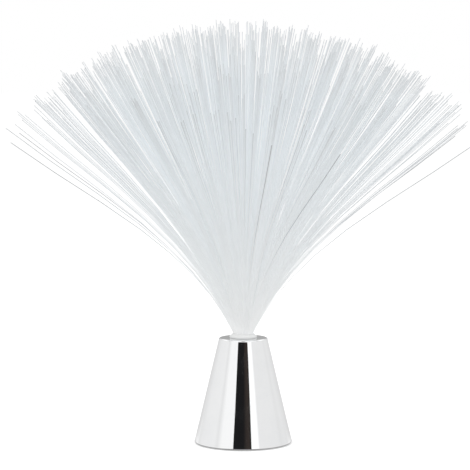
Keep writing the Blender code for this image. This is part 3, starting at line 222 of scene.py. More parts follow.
def makeFloor():
    bm = bmesh.new()
    bmesh.ops.create_grid(bm, x_segments=1, y_segments=1, size=studio["floorSize"])
    mesh = bpy.data.meshes.new("floor")
    bm.to_mesh(mesh)
    bm.free()
    floor = bpy.data.objects.new("floor", mesh)
    bpy.context.scene.collection.objects.link(floor)
    material = bpy.data.materials.new("paleFloor")
    material.use_nodes = True
    tree = material.node_tree
    tree.nodes.clear()
    path = addNode(tree, "ShaderNodeLightPath").outputs
    facing = addNode(tree, "ShaderNodeNewGeometry").outputs["Backfacing"]
    paper = addNode(tree, "ShaderNodeBsdfDiffuse", {"Color": studio["floorPaper"]})
    lift = addNode(tree, "ShaderNodeEmission", {"Color": (1, 1, 1, 1), "Strength": studio["floorLift"]})
    shown = addNode(tree, "ShaderNodeAddShader", {0: paper.outputs[0], 1: lift.outputs[0]})
    place = addNode(tree, "ShaderNodeTexCoord").outputs["Object"]
    away = addNode(tree, "ShaderNodeVectorMath", {0: place}, operation="LENGTH").outputs["Value"]
    # painted shadow: the floor that shiny surfaces see is darker close to the lamp
    farthest = studio["floorInMetal"][-1][0]
    share = calculate(tree, "DIVIDE", away, farthest)
    mirrored = ramp(tree, share, [(metres / farthest, tone) for metres, tone in studio["floorInMetal"]])
    # painted reflection: seen at a low angle, the floor also shows the walls and the dark gap
    x, y, _ = addNode(tree, "ShaderNodeSeparateXYZ", {0: place}).outputs
    panels = tonesRound(tree, degreesRound(tree, x, y), studio["floorPanels"])
    sheen = addNode(tree, "ShaderNodeFresnel", {"IOR": studio["floorIor"]}).outputs[0]
    mirrored = mixColour(tree, sheen, mirrored, panels)
    strength = blendValues(tree, path["Is Glossy Ray"], studio["floorGlow"], mirrored)
    glow = addNode(tree, "ShaderNodeEmission", {"Color": (1, 1, 1, 1), "Strength": strength})
    direct = calculate(tree, "MAXIMUM", path["Is Camera Ray"], path["Is Transmission Ray"])
    above = addNode(tree, "ShaderNodeMixShader", {0: direct, 1: glow.outputs[0], 2: shown.outputs[0]})
    clear = addNode(tree, "ShaderNodeBsdfTransparent")
    both = addNode(tree, "ShaderNodeMixShader", {0: facing, 1: above.outputs[0], 2: clear.outputs[0]})
    output = addNode(tree, "ShaderNodeOutputMaterial")
    tree.links.new(both.outputs[0], output.inputs["Surface"])
    mesh.materials.append(material)


softLights = {
    "keyLight": {"place": (-1.1, -1.0, 1.5), "size": 1.2, "watts": 9},
    "fillLight": {"place": (1.3, -0.9, 0.9), "size": 1.2, "watts": 5},
    "topLight": {"place": (0.0, 0.3, 1.9), "size": 1.4, "watts": 6},
}
lightsAim = (0, 0, 0.12)


def makeLights():
    for name, light in softLights.items():
        data = bpy.data.lights.new(name, "AREA")
        data.size = light["size"]
        data.energy = light["watts"]
        lamp = bpy.data.objects.new(name, data)
        lamp.location = light["place"]
        lamp.rotation_euler = (Vector(lightsAim) - lamp.location).to_track_quat("-Z", "Y").to_euler()
        lamp.visible_glossy = False
        lamp.visible_camera = False
        bpy.context.scene.collection.objects.link(lamp)


makeWorld()
makeFloor()
makeLights()
print("studio made")


# Effects that several materials share
def newGroup(name, inputs, outputs):
    group = bpy.data.node_groups.new(name, "ShaderNodeTree")
    for label, kind, value in inputs:
        socket = group.interface.new_socket(label, in_out="INPUT", socket_type=kind)
        if value is not None:
            socket.default_value = value
    for label, kind in outputs:
        group.interface.new_socket(label, in_out="OUTPUT", socket_type=kind)
    return group, group.nodes.new("NodeGroupInput"), group.nodes.new("NodeGroupOutput")


def makeGrainGroup():
    # fine moulded grain: a bumped normal and a mask of its pits
    group, given, result = newGroup(
        "mouldedGrain",
        (("Vector", "NodeSocketVector", None), ("Scale", "NodeSocketFloat", 2500.0),
         ("Depth", "NodeSocketFloat", 0.00002)),
        (("Normal", "NodeSocketVector"), ("Pits", "NodeSocketFloat")),
    )
    noise = addNode(
        group, "ShaderNodeTexNoise",
        {"Vector": given.outputs["Vector"], "Scale": given.outputs["Scale"], "Detail": 3.0, "Roughness": 0.6},
    )
    bump = addNode(
        group, "ShaderNodeBump",
        {"Height": noise.outputs[0], "Distance": given.outputs["Depth"], "Strength": 1.0},
    )
    group.links.new(bump.outputs[0], result.inputs["Normal"])
    group.links.new(noise.outputs[0], result.inputs["Pits"])
    return group


handlingLook = {
    "smudge": (0.42, 0.72),  # values of the soft noise between which a smudge grows
    "dustFiner": 28.0, "dustEdge": (0.16, 0.06), "dustAbove": 0.5,
}


def makeHandlingGroup(look):
    # faint smudges and dust: a soft large mask and a sparse fine one
    group, given, result = newGroup(
        "handling",
        (("Vector", "NodeSocketVector", None), ("Scale", "NodeSocketFloat", 60.0)),
        (("Smudge", "NodeSocketFloat"), ("Dust", "NodeSocketFloat")),
    )
    soft = addNode(
        group, "ShaderNodeTexNoise",
        {"Vector": given.outputs["Vector"], "Scale": given.outputs["Scale"], "Detail": 4.0,
         "Distortion": 0.6},
    )
    low, high = look["smudge"]
    smudge = addNode(
        group, "ShaderNodeMapRange", {"Value": soft.outputs[0], "From Min": low, "From Max": high}
    )
    finer = calculate(group, "MULTIPLY", given.outputs["Scale"], look["dustFiner"])
    speck = addNode(group, "ShaderNodeTexVoronoi", {"Vector": given.outputs["Vector"], "Scale": finer})
    low, high = look["dustEdge"]
    dot = addNode(
        group, "ShaderNodeMapRange",
        {"Value": speck.outputs["Distance"], "From Min": low, "From Max": high},
    )
    rare = calculate(group, "GREATER_THAN", soft.outputs[0], look["dustAbove"])
    dust = calculate(group, "MULTIPLY", dot.outputs[0], rare)
    group.links.new(smudge.outputs[0], result.inputs["Smudge"])
    group.links.new(dust, result.inputs["Dust"])
    return group


grainGroup = makeGrainGroup()
handlingGroup = makeHandlingGroup(handlingLook)


def startMaterial(name, **sockets):
    material = bpy.data.materials.new(name)
    material.use_nodes = True
    tree = material.node_tree
    shader = tree.nodes["Principled BSDF"]
    for label, value in sockets.items():
        shader.inputs[label.replace("_", " ")].default_value = value
    place = addNode(tree, "ShaderNodeTexCoord").outputs["Object"]
    return material, tree, shader, place


def addGrain(tree, shader, place, scale, depth):
    node = addNode(tree, "ShaderNodeGroup", node_tree=grainGroup)
    tree.links.new(place, node.inputs["Vector"])
    node.inputs["Scale"].default_value = scale
    node.inputs["Depth"].default_value = depth
    tree.links.new(node.outputs["Normal"], shader.inputs["Normal"])
    return node.outputs["Pits"]


def addHandling(tree, place, scale):
    node = addNode(tree, "ShaderNodeGroup", node_tree=handlingGroup)
    tree.links.new(place, node.inputs["Vector"])
    node.inputs["Scale"].default_value = scale
    return node.outputs["Smudge"], node.outputs["Dust"]


def chromePlating():
    material, tree, shader, place = startMaterial("chromePlating", Metallic=1.0)
    smudge, dust = addHandling(tree, place, 55.0)
    tint = mixColour(tree, smudge, (0.935, 0.94, 0.945), (0.915, 0.922, 0.93))
    tree.links.new(mixColour(tree, dust, tint, (0.8, 0.8, 0.79)), shader.inputs["Base Color"])
    tree.links.new(blendValues(tree, smudge, 0.035, 0.075), shader.inputs["Roughness"])
    # the plating keeps the faint waves of the moulding below it
    wave = addNode(tree, "ShaderNodeTexNoise", {"Vector": place, "Scale": 45.0, "Detail": 1.0})
    bump = addNode(
        tree, "ShaderNodeBump", {"Height": wave.outputs[0], "Distance": 0.00004, "Strength": 0.5}
    )
    tree.links.new(bump.outputs[0], shader.inputs["Normal"])
    return material


def mouldedPlastic(name, colour, worn, dusty, roughness, grain=2600.0, depth=0.000015):
    material, tree, shader, place = startMaterial(name, IOR=1.49)
    pits = addGrain(tree, shader, place, grain, depth)
    smudge, dust = addHandling(tree, place, 70.0)
    base = mixColour(tree, smudge, colour, worn)
    tree.links.new(mixColour(tree, dust, base, dusty), shader.inputs["Base Color"])
    rough = blendValues(tree, pits, roughness - 0.08, roughness + 0.1)
    tree.links.new(rough, shader.inputs["Roughness"])
    return material


def platedSteel():
    material, tree, shader, place = startMaterial("platedSteel", Metallic=1.0)
    smudge, dust = addHandling(tree, place, 160.0)
    streaks = addNode(
        tree, "ShaderNodeMapping", {"Vector": place, "Scale": (400.0, 400.0, 6000.0)}
    ).outputs[0]
    lines = addNode(tree, "ShaderNodeTexNoise", {"Vector": streaks, "Scale": 1.0, "Detail": 2.0}).outputs[0]
    tint = mixColour(tree, smudge, (0.66, 0.65, 0.62), (0.56, 0.55, 0.5))
    tree.links.new(mixColour(tree, dust, tint, (0.4, 0.38, 0.34)), shader.inputs["Base Color"])
    tree.links.new(blendValues(tree, lines, 0.2, 0.4), shader.inputs["Roughness"])
    bump = addNode(tree, "ShaderNodeBump", {"Height": lines, "Distance": 0.00001})
    tree.links.new(bump.outputs[0], shader.inputs["Normal"])
    return material


# painted light: the strands are paler at the root, where they crowd, and greyer towards their tips; from root
# to tip
fiberPaintedTones = (
    (0.0, (0.96, 0.965, 0.965)),
    (0.25, (0.925, 0.94, 0.947)),
    (0.7, (0.83, 0.857, 0.875)),
    (0.9, (0.72, 0.75, 0.77)),
    (1.0, (0.6, 0.62, 0.635)),
)


def fiberPlastic():
    # clear strands: pale and cool, with painted light that makes them greyer towards their tips, each with
    # its own shade
    # painted glow: the strands give off a faint light of their own colour, which brightens them where they
    # shade each other
    material, tree, shader, _ = startMaterial(
        "fiberPlastic", IOR=1.49, Roughness=0.3, Emission_Strength=0.16
    )
    along = addNode(tree, "ShaderNodeAttribute", attribute_name="along").outputs["Fac"]
    own = addNode(tree, "ShaderNodeAttribute", attribute_name="ownShade").outputs["Fac"]
    body = ramp(tree, along, fiberPaintedTones)
    shaded = mixColour(tree, blendValues(tree, own, 0.0, 0.12), body, (0.45, 0.48, 0.5))
    # painted shade: a strand that stands alone is darkened, as it looks darker before the white room
    alone = addNode(tree, "ShaderNodeAttribute", attribute_name="alone").outputs["Fac"]
    shaded = mixColour(tree, alone, shaded, (0.42, 0.43, 0.44))
    tree.links.new(shaded, shader.inputs["Base Color"])
    tree.links.new(shaded, shader.inputs["Emission Color"])
    return material


def rubber():
    material, tree, shader, place = startMaterial("footRubber", IOR=1.45)
    addGrain(tree, shader, place, 1800.0, 0.00004)
    smudge, dust = addHandling(tree, place, 110.0)
    base = mixColour(tree, smudge, (0.05, 0.05, 0.052), (0.08, 0.079, 0.077))
    tree.links.new(mixColour(tree, dust, base, (0.16, 0.155, 0.145)), shader.inputs["Base Color"])
    tree.links.new(blendValues(tree, smudge, 0.78, 0.92), shader.inputs["Roughness"])
    return material


def cellSleeve():
    # shrunk film on the cell: dark body, a copper band at one end, both fading into fine rings
    material, tree, shader, place = startMaterial("cellSleeve", Coat_Weight=0.35)
    part = addNode(tree, "ShaderNodeAttribute", attribute_name="along").outputs["Fac"]
    body = ramp(
        tree, part,
        ((0.0, (0.55, 0.55, 0.53)), (0.02, (0.55, 0.55, 0.53)), (0.022, (0.018, 0.02, 0.024)),
         (0.66, (0.018, 0.02, 0.024)), (0.662, (0.6, 0.6, 0.58)), (0.675, (0.6, 0.6, 0.58)),
         (0.677, (0.42, 0.2, 0.09)), (0.965, (0.42, 0.2, 0.09)), (0.967, (0.62, 0.61, 0.58)),
         (1.0, (0.66, 0.65, 0.62))),
    )
    smudge, dust = addHandling(tree, place, 120.0)
    tree.links.new(mixColour(tree, dust, body, (0.5, 0.5, 0.48)), shader.inputs["Base Color"])
    metal = ramp(
        tree, part, ((0.0, 1.0), (0.02, 1.0), (0.022, 0.25), (0.965, 0.55), (0.967, 1.0), (1.0, 1.0))
    )
    tree.links.new(metal, shader.inputs["Metallic"])
    tree.links.new(blendValues(tree, smudge, 0.22, 0.4), shader.inputs["Roughness"])
    return material


def boardLaminate():
    material, tree, shader, place = startMaterial("boardLaminate", IOR=1.5)
    weave = addNode(
        tree, "ShaderNodeTexBrick",
        {"Vector": place, "Scale": 300.0, "Color1": (0.012, 0.12, 0.05, 1), "Color2": (0.016, 0.15, 0.06, 1),
         "Mortar": (0.03, 0.24, 0.1, 1), "Mortar Size": 0.03},
    )
    smudge, dust = addHandling(tree, place, 90.0)
    tree.links.new(mixColour(tree, dust, weave.outputs[0], (0.6, 0.58, 0.4)), shader.inputs["Base Color"])
    tree.links.new(blendValues(tree, smudge, 0.25, 0.42), shader.inputs["Roughness"])
    bump = addNode(tree, "ShaderNodeBump", {"Height": weave.outputs["Fac"], "Distance": 0.00003})
    tree.links.new(bump.outputs[0], shader.inputs["Normal"])
    return material


def ledEpoxy():
    material, tree, shader, place = startMaterial("ledEpoxy", IOR=1.53, Transmission_Weight=0.8)
    smudge, dust = addHandling(tree, place, 140.0)
    tree.links.new(mixColour(tree, dust, (0.93, 0.95, 0.97), (0.7, 0.7, 0.68)), shader.inputs["Base Color"])
    tree.links.new(blendValues(tree, smudge, 0.04, 0.12), shader.inputs["Roughness"])
    return material


def resistorCoat():
    material, tree, shader, place = startMaterial("resistorCoat", IOR=1.5)
    part = addNode(tree, "ShaderNodeSeparateXYZ", {0: place}).outputs[0]
    length = 6 * mm
    share = calculate(tree, "MULTIPLY_ADD", part, 1 / length, 0.5)
    tan, red, purple, gold = (0.52, 0.36, 0.18), (0.45, 0.03, 0.02), (0.16, 0.03, 0.22), (0.5, 0.33, 0.08)
    stops = [(0.0, tan)]
    edge, wide = 0.005, 0.08
    for start, colour in ((0.2, red), (0.36, purple), (0.52, red), (0.74, gold)):
        stops += [(start, tan), (start + edge, colour), (start + wide - edge, colour), (start + wide, tan)]
    tree.links.new(ramp(tree, share, stops), shader.inputs["Base Color"])
    smudge, dust = addHandling(tree, place, 300.0)
    tree.links.new(blendValues(tree, smudge, 0.3, 0.5), shader.inputs["Roughness"])
    return material


def foam():
    material, tree, shader, place = startMaterial("doorFoam", Roughness=0.95)
    cells = addNode(tree, "ShaderNodeTexVoronoi", {"Vector": place, "Scale": 1500.0})
    # painted shade: the pores are darker towards their middles, where the bump sinks them
    shadeOf = ramp(tree, cells.outputs["Distance"], ((0.0, 0.015), (0.6, 0.06), (1.0, 0.09)))
    tree.links.new(shadeOf, shader.inputs["Base Color"])
    bump = addNode(tree, "ShaderNodeBump", {"Height": cells.outputs["Distance"], "Distance": 0.0003})
    tree.links.new(bump.outputs[0], shader.inputs["Normal"])
    return material


def wireCoat(name, colour):
    material, tree, shader, place = startMaterial(name, IOR=1.5)
    smudge, dust = addHandling(tree, place, 200.0)
    paler = tuple(0.8 * c + 0.06 for c in colour)
    base = mixColour(tree, smudge, colour, paler)
    tree.links.new(mixColour(tree, dust, base, (0.4, 0.38, 0.36)), shader.inputs["Base Color"])
    tree.links.new(blendValues(tree, smudge, 0.3, 0.5), shader.inputs["Roughness"])
    return material


finishes = {
    "chrome_plating": chromePlating(),
    "black_plastic": mouldedPlastic(
        "blackPlastic", (0.014, 0.014, 0.015), (0.026, 0.026, 0.027), (0.055, 0.054, 0.052), 0.5
    ),
    "white_plastic": mouldedPlastic(
        "whitePlastic", (0.80, 0.81, 0.81), (0.77, 0.775, 0.765), (0.66, 0.655, 0.64), 0.38
    ),
    "clear_fiber": fiberPlastic(),
    "plated_steel": platedSteel(),
    "foot_rubber": rubber(),
    "cell_sleeve": cellSleeve(),
    "board_laminate": boardLaminate(),
    "led_epoxy": ledEpoxy(),
    "resistor_coat": resistorCoat(),
    "door_foam": foam(),
    "wire_red": wireCoat("wireRed", (0.42, 0.018, 0.015)),
    "wire_black": wireCoat("wireBlack", (0.012, 0.012, 0.013)),
}
for node in nodes.values():
    for place in node.material_slots:
        place.material = finishes[place.material.name]
print("materials made")


# Mesh helpers
def steadyOrder(bm):
    # the spin and extrude operators number what they make differently from run to run
    for sequence in (bm.verts, bm.edges, bm.faces):
        places = {}
        for item in sequence:
            corners = [vert.co for vert in getattr(item, "verts", [item])]
            places[item] = tuple(round(sum(along) / len(corners), 7) for along in zip(*corners))
        rank = {item: number for number, item in enumerate(sorted(places, key=places.get))}
        sequence.sort(key=rank.get)


def finishPiece(bm, name, slot, body, replaced=(), sharp=35):
    steadyOrder(bm)
    mesh = bpy.data.meshes.new(name)
    bm.to_mesh(mesh)
    bm.free()
    mesh.shade_smooth()
    mesh.set_sharp_from_angle(angle=math.radians(sharp))
    mesh.materials.append(finishes[slot])
    piece = bpy.data.objects.new(name, mesh)
    bpy.context.scene.collection.objects.link(piece)
    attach(piece, body)
    if replaced:
        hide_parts(*replaced)
    return piece


def spunOutline(points, steps, closed=True):
    bm = bmesh.new()
    corners = [bm.verts.new((r, 0, z)) for r, z in points]
    edges = [bm.edges.new(pair) for pair in zip(corners, corners[1:])]
    if closed:
        edges.append(bm.edges.new((corners[-1], corners[0])))
    bmesh.ops.spin(
        bm, geom=corners + edges, axis=(0, 0, 1), cent=(0, 0, 0), angle=2 * math.pi, steps=steps,
        use_merge=True,
    )
    bmesh.ops.remove_doubles(bm, verts=bm.verts, dist=1e-6)
    bmesh.ops.recalc_face_normals(bm, faces=bm.faces)
    steadyOrder(bm)
    return bm


def arcPoints(centreR, centreZ, radius, start, end, steps):
    angles = [math.radians(start + (end - start) * i / steps) for i in range(steps + 1)]
    return [(centreR + radius * math.cos(a), centreZ + radius * math.sin(a)) for a in angles]


def roundEdges(bm, width, segments=2, limit=30):
    edges = [e for e in bm.edges if len(e.link_faces) == 2 and e.calc_face_angle(0) > math.radians(limit)]
    bmesh.ops.bevel(
        bm, geom=edges, offset=width, offset_type="OFFSET", segments=segments, profile=0.5,
        affect="EDGES", material=-1, clamp_overlap=True,
    )


def copyOfNode(name, join=1e-5, whole=True):
    # a CAD node's loose triangles, merged and, where asked, with its flat faces whole again
    bm = bmesh.new()
    bm.from_mesh(nodes[name].data)
    bmesh.ops.remove_doubles(bm, verts=bm.verts, dist=join)
    if whole:
        bmesh.ops.dissolve_limit(
            bm, angle_limit=math.radians(1), use_dissolve_boundaries=False, verts=bm.verts, edges=bm.edges
        )
    return bm


# Housing
housingShell = {
    "baseRadius": 37.5 * mm, "topRadius": 18.5 * mm, "wall": 1.85 * mm, "topWall": 2.0 * mm,
    "lipRadius": 1.4 * mm, "rimRadius": 0.7 * mm, "flatKept": 0.25 * mm, "steps": 160,
    "boreInside": 1.2 * mm,  # how far the bore lies inside the ferrule's collar
    "boreChamfer": 0.3 * mm, "lipSteps": 10, "rimSteps": 7,
}


def makeHousing(size):
    low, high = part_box("housing")
    height = high.z - low.z
    slope = (size["baseRadius"] - size["topRadius"]) / height
    tilt = math.atan(slope)

    def wallAt(z):
        return size["baseRadius"] - slope * (z - low.z)

    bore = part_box("ferrule")[1].x - size["boreInside"]
    chamfer = size["boreChamfer"]
    lip, rim, keep = size["lipRadius"], size["rimRadius"], size["flatKept"]
    lipZ, rimZ = high.z - lip, low.z + rim
    lipR = wallAt(lipZ) - lip / math.cos(tilt)
    rimR = wallAt(rimZ) - rim / math.cos(tilt)
    points = [(bore, high.z - chamfer), (bore + chamfer, high.z), (bore + chamfer + keep, high.z)]
    points += [(lipR - keep, high.z)]
    points += arcPoints(lipR, lipZ, lip, 90, math.degrees(tilt), size["lipSteps"])
    # a ring close to each arc keeps the long wall's reflections straight
    wallTop, wallFoot = points[-1], (rimR + rim * math.cos(tilt), rimZ + rim * math.sin(tilt))
    points += [(wallTop[0] + keep * math.sin(tilt), wallTop[1] - keep * math.cos(tilt))]
    points += [(wallFoot[0] - keep * math.sin(tilt), wallFoot[1] + keep * math.cos(tilt))]
    points += arcPoints(rimR, rimZ, rim, math.degrees(tilt), -90, size["rimSteps"])
    points += [(wallAt(low.z) - size["wall"], low.z)]
    ceiling = high.z - size["topWall"]
    points += [(wallAt(ceiling) - size["wall"], ceiling), (bore, ceiling)]
    bm = spunOutline(points, size["steps"])
    return finishPiece(bm, "housing_shell", "chrome_plating", "base", ["housing"], sharp=50)


makeHousing(housingShell)
print("housing made")


# Ferrule
ferruleSleeve = {
    "mouth": 7.8 * mm, "lipWidth": 0.6 * mm, "sleeveRadius": 9.0 * mm, "rise": 2.8 * mm,
    "edge": 0.9 * mm, "softness": 0.25 * mm, "steps": 96, "seatGap": 0.03 * mm, "footChamfer": 0.5 * mm,
}


def makeFerrule(size):
    low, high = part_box("ferrule")
    collarZ = high.z - size["rise"]
    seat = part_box("housing")[1].z + size["seatGap"]  # the collar rests on the chrome
    chamfer = size["footChamfer"]
    points = [
        (size["mouth"], high.z), (size["mouth"] + size["lipWidth"], high.z),
        (high.x, collarZ + size["edge"]), (high.x, seat),
        (size["sleeveRadius"], seat), (size["sleeveRadius"], low.z + chamfer),
        (size["sleeveRadius"] - chamfer, low.z), (size["mouth"], low.z),
    ]
    bm = spunOutline(points, size["steps"])
    roundEdges(bm, size["softness"], 3, 25)
    return finishPiece(bm, "ferrule_sleeve", "white_plastic", "spray", ["ferrule"])


makeFerrule(ferruleSleeve)
print("ferrule made")


# Fibers: each fiber of the solid tufts becomes a bunch of fine strands that run along it
spray = {
    "perFiber": 4, "sides": 5, "strandRadius": (0.215 * mm, 0.27 * mm), "loneRadius": (0.27 * mm, 0.3 * mm),
    "stationShares": (0.0, 0.03, 0.08, 0.15, 0.24, 0.35, 0.48, 0.64, 0.82, 1.0),
    "rootSpread": 0.24 * mm, "tipSpread": (0.5 * mm, 3.6 * mm),  # how far strands stand off their fiber
    "shorter": 0.03,
    "loneFrom": math.radians(41), "loneTo": math.radians(50),  # lean over which the bunches thin out
    "aloneAfter": 0.2, "aloneGain": 2.0,  # where along a lone strand its painted shade begins
    "resinDrop": 1.2 * mm, "mouthSlack": 0.1 * mm, "tangentStep": 0.01, "seed": 7,
}


def fiberTips(bm, drop=5 * mm):
    tips = []
    for face in bm.faces:
        others = [e.other_vert(v) for v in face.verts for e in v.link_edges if e not in face.edges]
        if all(face.calc_center_median().z - v.co.z > drop for v in others):
            tips.append(face)
    return tips


def fiberPath(tip, mouthZ):
    # the fiber's middle at its root, at its bends and at its tip
    above, ring = set(), set(tip.verts)
    path = []
    while True:
        inOrder = sorted(ring, key=lambda v: v.index)
        path.append(sum((v.co for v in inOrder), Vector()) / len(ring))
        if path[-1].z - mouthZ < spray["mouthSlack"]:
            return path[::-1]
        below = {e.other_vert(v) for v in ring for e in v.link_edges} - ring - above
        above, ring = ring, below


def alongFiber(path, share):
    # the cubic curve through the four known places
    reach = [0.0]
    for a, b in zip(path, path[1:]):
        reach.append(reach[-1] + (b - a).length)
    at = share * reach[-1]
    place = Vector()
    for i, known in enumerate(path):
        weight = 1.0
        for j in range(len(path)):
            if j != i:
                weight *= (at - reach[j]) / (reach[i] - reach[j])
        place += known * weight
    return place


def planStrands(fibers, size, chance):
    strands = []
    for path in fibers:
        climb = path[-1] - path[0]
        polar = climb.angle(Vector((0, 0, 1)))
        alone = (polar - size["loneFrom"]) / (size["loneTo"] - size["loneFrom"])
        alone = min(1.0, max(0.0, alone))
        shadeOf = chance.random()
        first = chance.uniform(0, 2 * math.pi)
        count = max(1, round(size["perFiber"] * (1 - alone)))
        for k in range(count):
            angle = first + 2 * math.pi * k / count
            way = Vector((math.cos(angle), math.sin(angle), 0)) if count > 1 else Vector()
            strands.append({
                "path": path, "aside": way * size["rootSpread"],
                "apart": way * chance.uniform(*size["tipSpread"]),
                "end": 1 - chance.uniform(0, size["shorter"]),
                "shade": 0.5 * shadeOf + 0.5 * chance.random(),
                # alone * alone weights the painted shade of a lone strand
                "alone": alone * alone, "radius": size["strandRadius"] if count > 1 else size["loneRadius"],
            })
    return strands


def strandStation(strand, share):
    at = share * strand["end"]
    path, step = strand["path"], spray["tangentStep"]
    middle = alongFiber(path, at)
    tangent = alongFiber(path, at + step) - alongFiber(path, at - step)
    turn = Vector((0, 0, 1)).rotation_difference(tangent)
    return middle + turn @ strand["aside"].lerp(strand["apart"], share), turn


def pottedSlice(bm, mouthZ, drop):
    # keeps only the slice of resin below the mouth of a tuft's copy, and closes its top
    slack = spray["mouthSlack"]
    upper = [v for v in bm.verts if v.co.z > mouthZ + slack]
    bmesh.ops.delete(bm, geom=upper, context="VERTS")
    bmesh.ops.delete(bm, geom=[v for v in bm.verts if not v.link_faces], context="VERTS")
    bmesh.ops.delete(bm, geom=[e for e in bm.edges if not e.link_faces], context="EDGES")
    for vert in bm.verts:
        if abs(vert.co.z - mouthZ) < slack:
            vert.co.z -= drop
    bmesh.ops.holes_fill(bm, edges=[e for e in bm.edges if len(e.link_faces) == 1])


def makeTuft(number, size, chance):
    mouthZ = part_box("ferrule")[1].z
    name = f"fiber_tuft_{number}"
    bm = copyOfNode(name, whole=False)
    bm.verts.index_update()
    fibers = [fiberPath(tip, mouthZ) for tip in fiberTips(bm)]
    strands = planStrands(fibers, size, chance)
    pottedSlice(bm, mouthZ, size["resinDrop"])
    order = bm.faces.layers.int.new("strand")
    along = bm.verts.layers.float.new("along")
    ownShade = bm.verts.layers.float.new("ownShade")
    loneShadeLayer = bm.verts.layers.float.new("alone")
    tops = []
    for k, strand in enumerate(strands):
        root = strand["path"][0] + strand["aside"]
        start = Matrix.Translation((root.x, root.y, mouthZ - 2 * size["resinDrop"]))
        ring = bmesh.ops.create_circle(bm, cap_ends=True, segments=size["sides"], radius=1, matrix=start)
        face = ring["verts"][0].link_faces[0]
        face[order] = k
        for vert in ring["verts"]:
            vert.co = start.translation + (vert.co - start.translation) * strand["radius"][0]
            vert[ownShade] = strand["shade"]
        tops.append(face)
    spokes = [(v.co - tops[0].calc_center_median()).normalized() for v in tops[0].verts]
    for share in size["stationShares"]:
        # the painted shade of a lone strand grows from aloneAfter towards its tip
        lone = min(1.0, max(0.0, share - size["aloneAfter"]) * size["aloneGain"])
        tops = bmesh.ops.extrude_discrete_faces(bm, faces=tops)["faces"]
        for face in tops:
            strand = strands[face[order]]
            place, turn = strandStation(strand, share)
            thin, thick = strand["radius"]
            radius = thin + (thick - thin) * share
            for vert, spoke in zip(face.verts, spokes):
                vert.co = place + turn @ (spoke * radius)
                vert[along] = share
                vert[ownShade] = strand["shade"]
                vert[loneShadeLayer] = strand["alone"] * lone
    bm.faces.layers.int.remove(order)
    bmesh.ops.recalc_face_normals(bm, faces=bm.faces)
    finishPiece(bm, f"fiber_strands_{number}", "clear_fiber", "spray", [name], sharp=80)
    return len(strands)


def makeSpray(size):
    chance = random.Random(size["seed"])
    counts = [makeTuft(number, size, chance) for number in range(1, 7)]
    print("strands:", sum(counts))


makeSpray(spray)
print("spray made")


# Feet: soft domed pads with a shallow dish in the middle
footPad = {
    "radius": 3.4 * mm, "edge": 0.55 * mm, "edgeSteps": 5, "dishRadius": 1.7 * mm, "dishDepth": 0.3 * mm,
    "dish": ((0, 1), (0.6, 0.9), (1, 0.3), (1.2, 0)),  # shares of its radius and depth
    "steps": 48,
}


def makeFeet(size):
    for number in range(1, 5):
        low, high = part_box(f"foot_{number}")
        top, edge = high.z - low.z, size["edge"]
        points = [(size["dishRadius"] * r, size["dishDepth"] * z) for r, z in size["dish"]]
        points += arcPoints(size["radius"] - edge, edge, edge, -90, 0, size["edgeSteps"])
        points += [(size["radius"], top), (0, top)]
        bm = spunOutline(points, size["steps"], closed=False)
        middle = (low + high) / 2
        bmesh.ops.translate(bm, verts=bm.verts, vec=(middle.x, middle.y, low.z))
        finishPiece(bm, f"foot_pad_{number}", "foot_rubber", "base", [f"foot_{number}"])


makeFeet(footPad)
print("feet made")


# Screws: head radius and height, shank radius; a cross is pressed into each head
screwSizes = {
    "cover_screw": {"count": 3, "head": (2.7 * mm, 1.9 * mm), "shank": 1.3 * mm, "down": True},
    "socket_screw": {"count": 2, "head": (2.3 * mm, 1.5 * mm), "shank": 1.1 * mm, "down": True},
    "board_screw": {"count": 2, "head": (2.0 * mm, 1.4 * mm), "shank": 1.0 * mm, "down": True},
    "switch_screw": {"count": 2, "head": (1.7 * mm, 1.2 * mm), "shank": 0.9 * mm, "down": False},
}
doorScrew = {"head": (2.2 * mm, 1.2 * mm), "shank": 1.0 * mm, "down": True, "flat": True}
screwShape = {
    "cells": 9, "crossHalfWidth": 0.12, "crossHalfLength": 0.5,  # shares of the head's radius
    "crossDepth": 0.55, "crossTaper": 0.72,  # shares of the head's height and of the cross's mouth
    "crown": 0.28, "edge": 0.94, "rimDrop": 0.12, "footShare": 0.96, "footRise": 0.1 * mm,
    "rootShare": 0.82, "tipRise": 0.8, "pitch": 0.7 * mm,
    "thread": ((0.82, 0.25), (0.82, 0.25), (1.0, 0.3), (1.0, 0.2)),  # shares of shank and of pitch
}


def ringBelow(bm, edges, radius, z):
    # grows the open edge of a turned shape to its next ring
    grown = bmesh.ops.extrude_edge_only(bm, edges=edges)["geom"]
    for vert in [g for g in grown if isinstance(g, bmesh.types.BMVert)]:
        flat = vert.co.xy.normalized() * radius
        vert.co = (flat.x, flat.y, z)
    return [g for g in grown if isinstance(g, bmesh.types.BMEdge) and g.is_boundary]


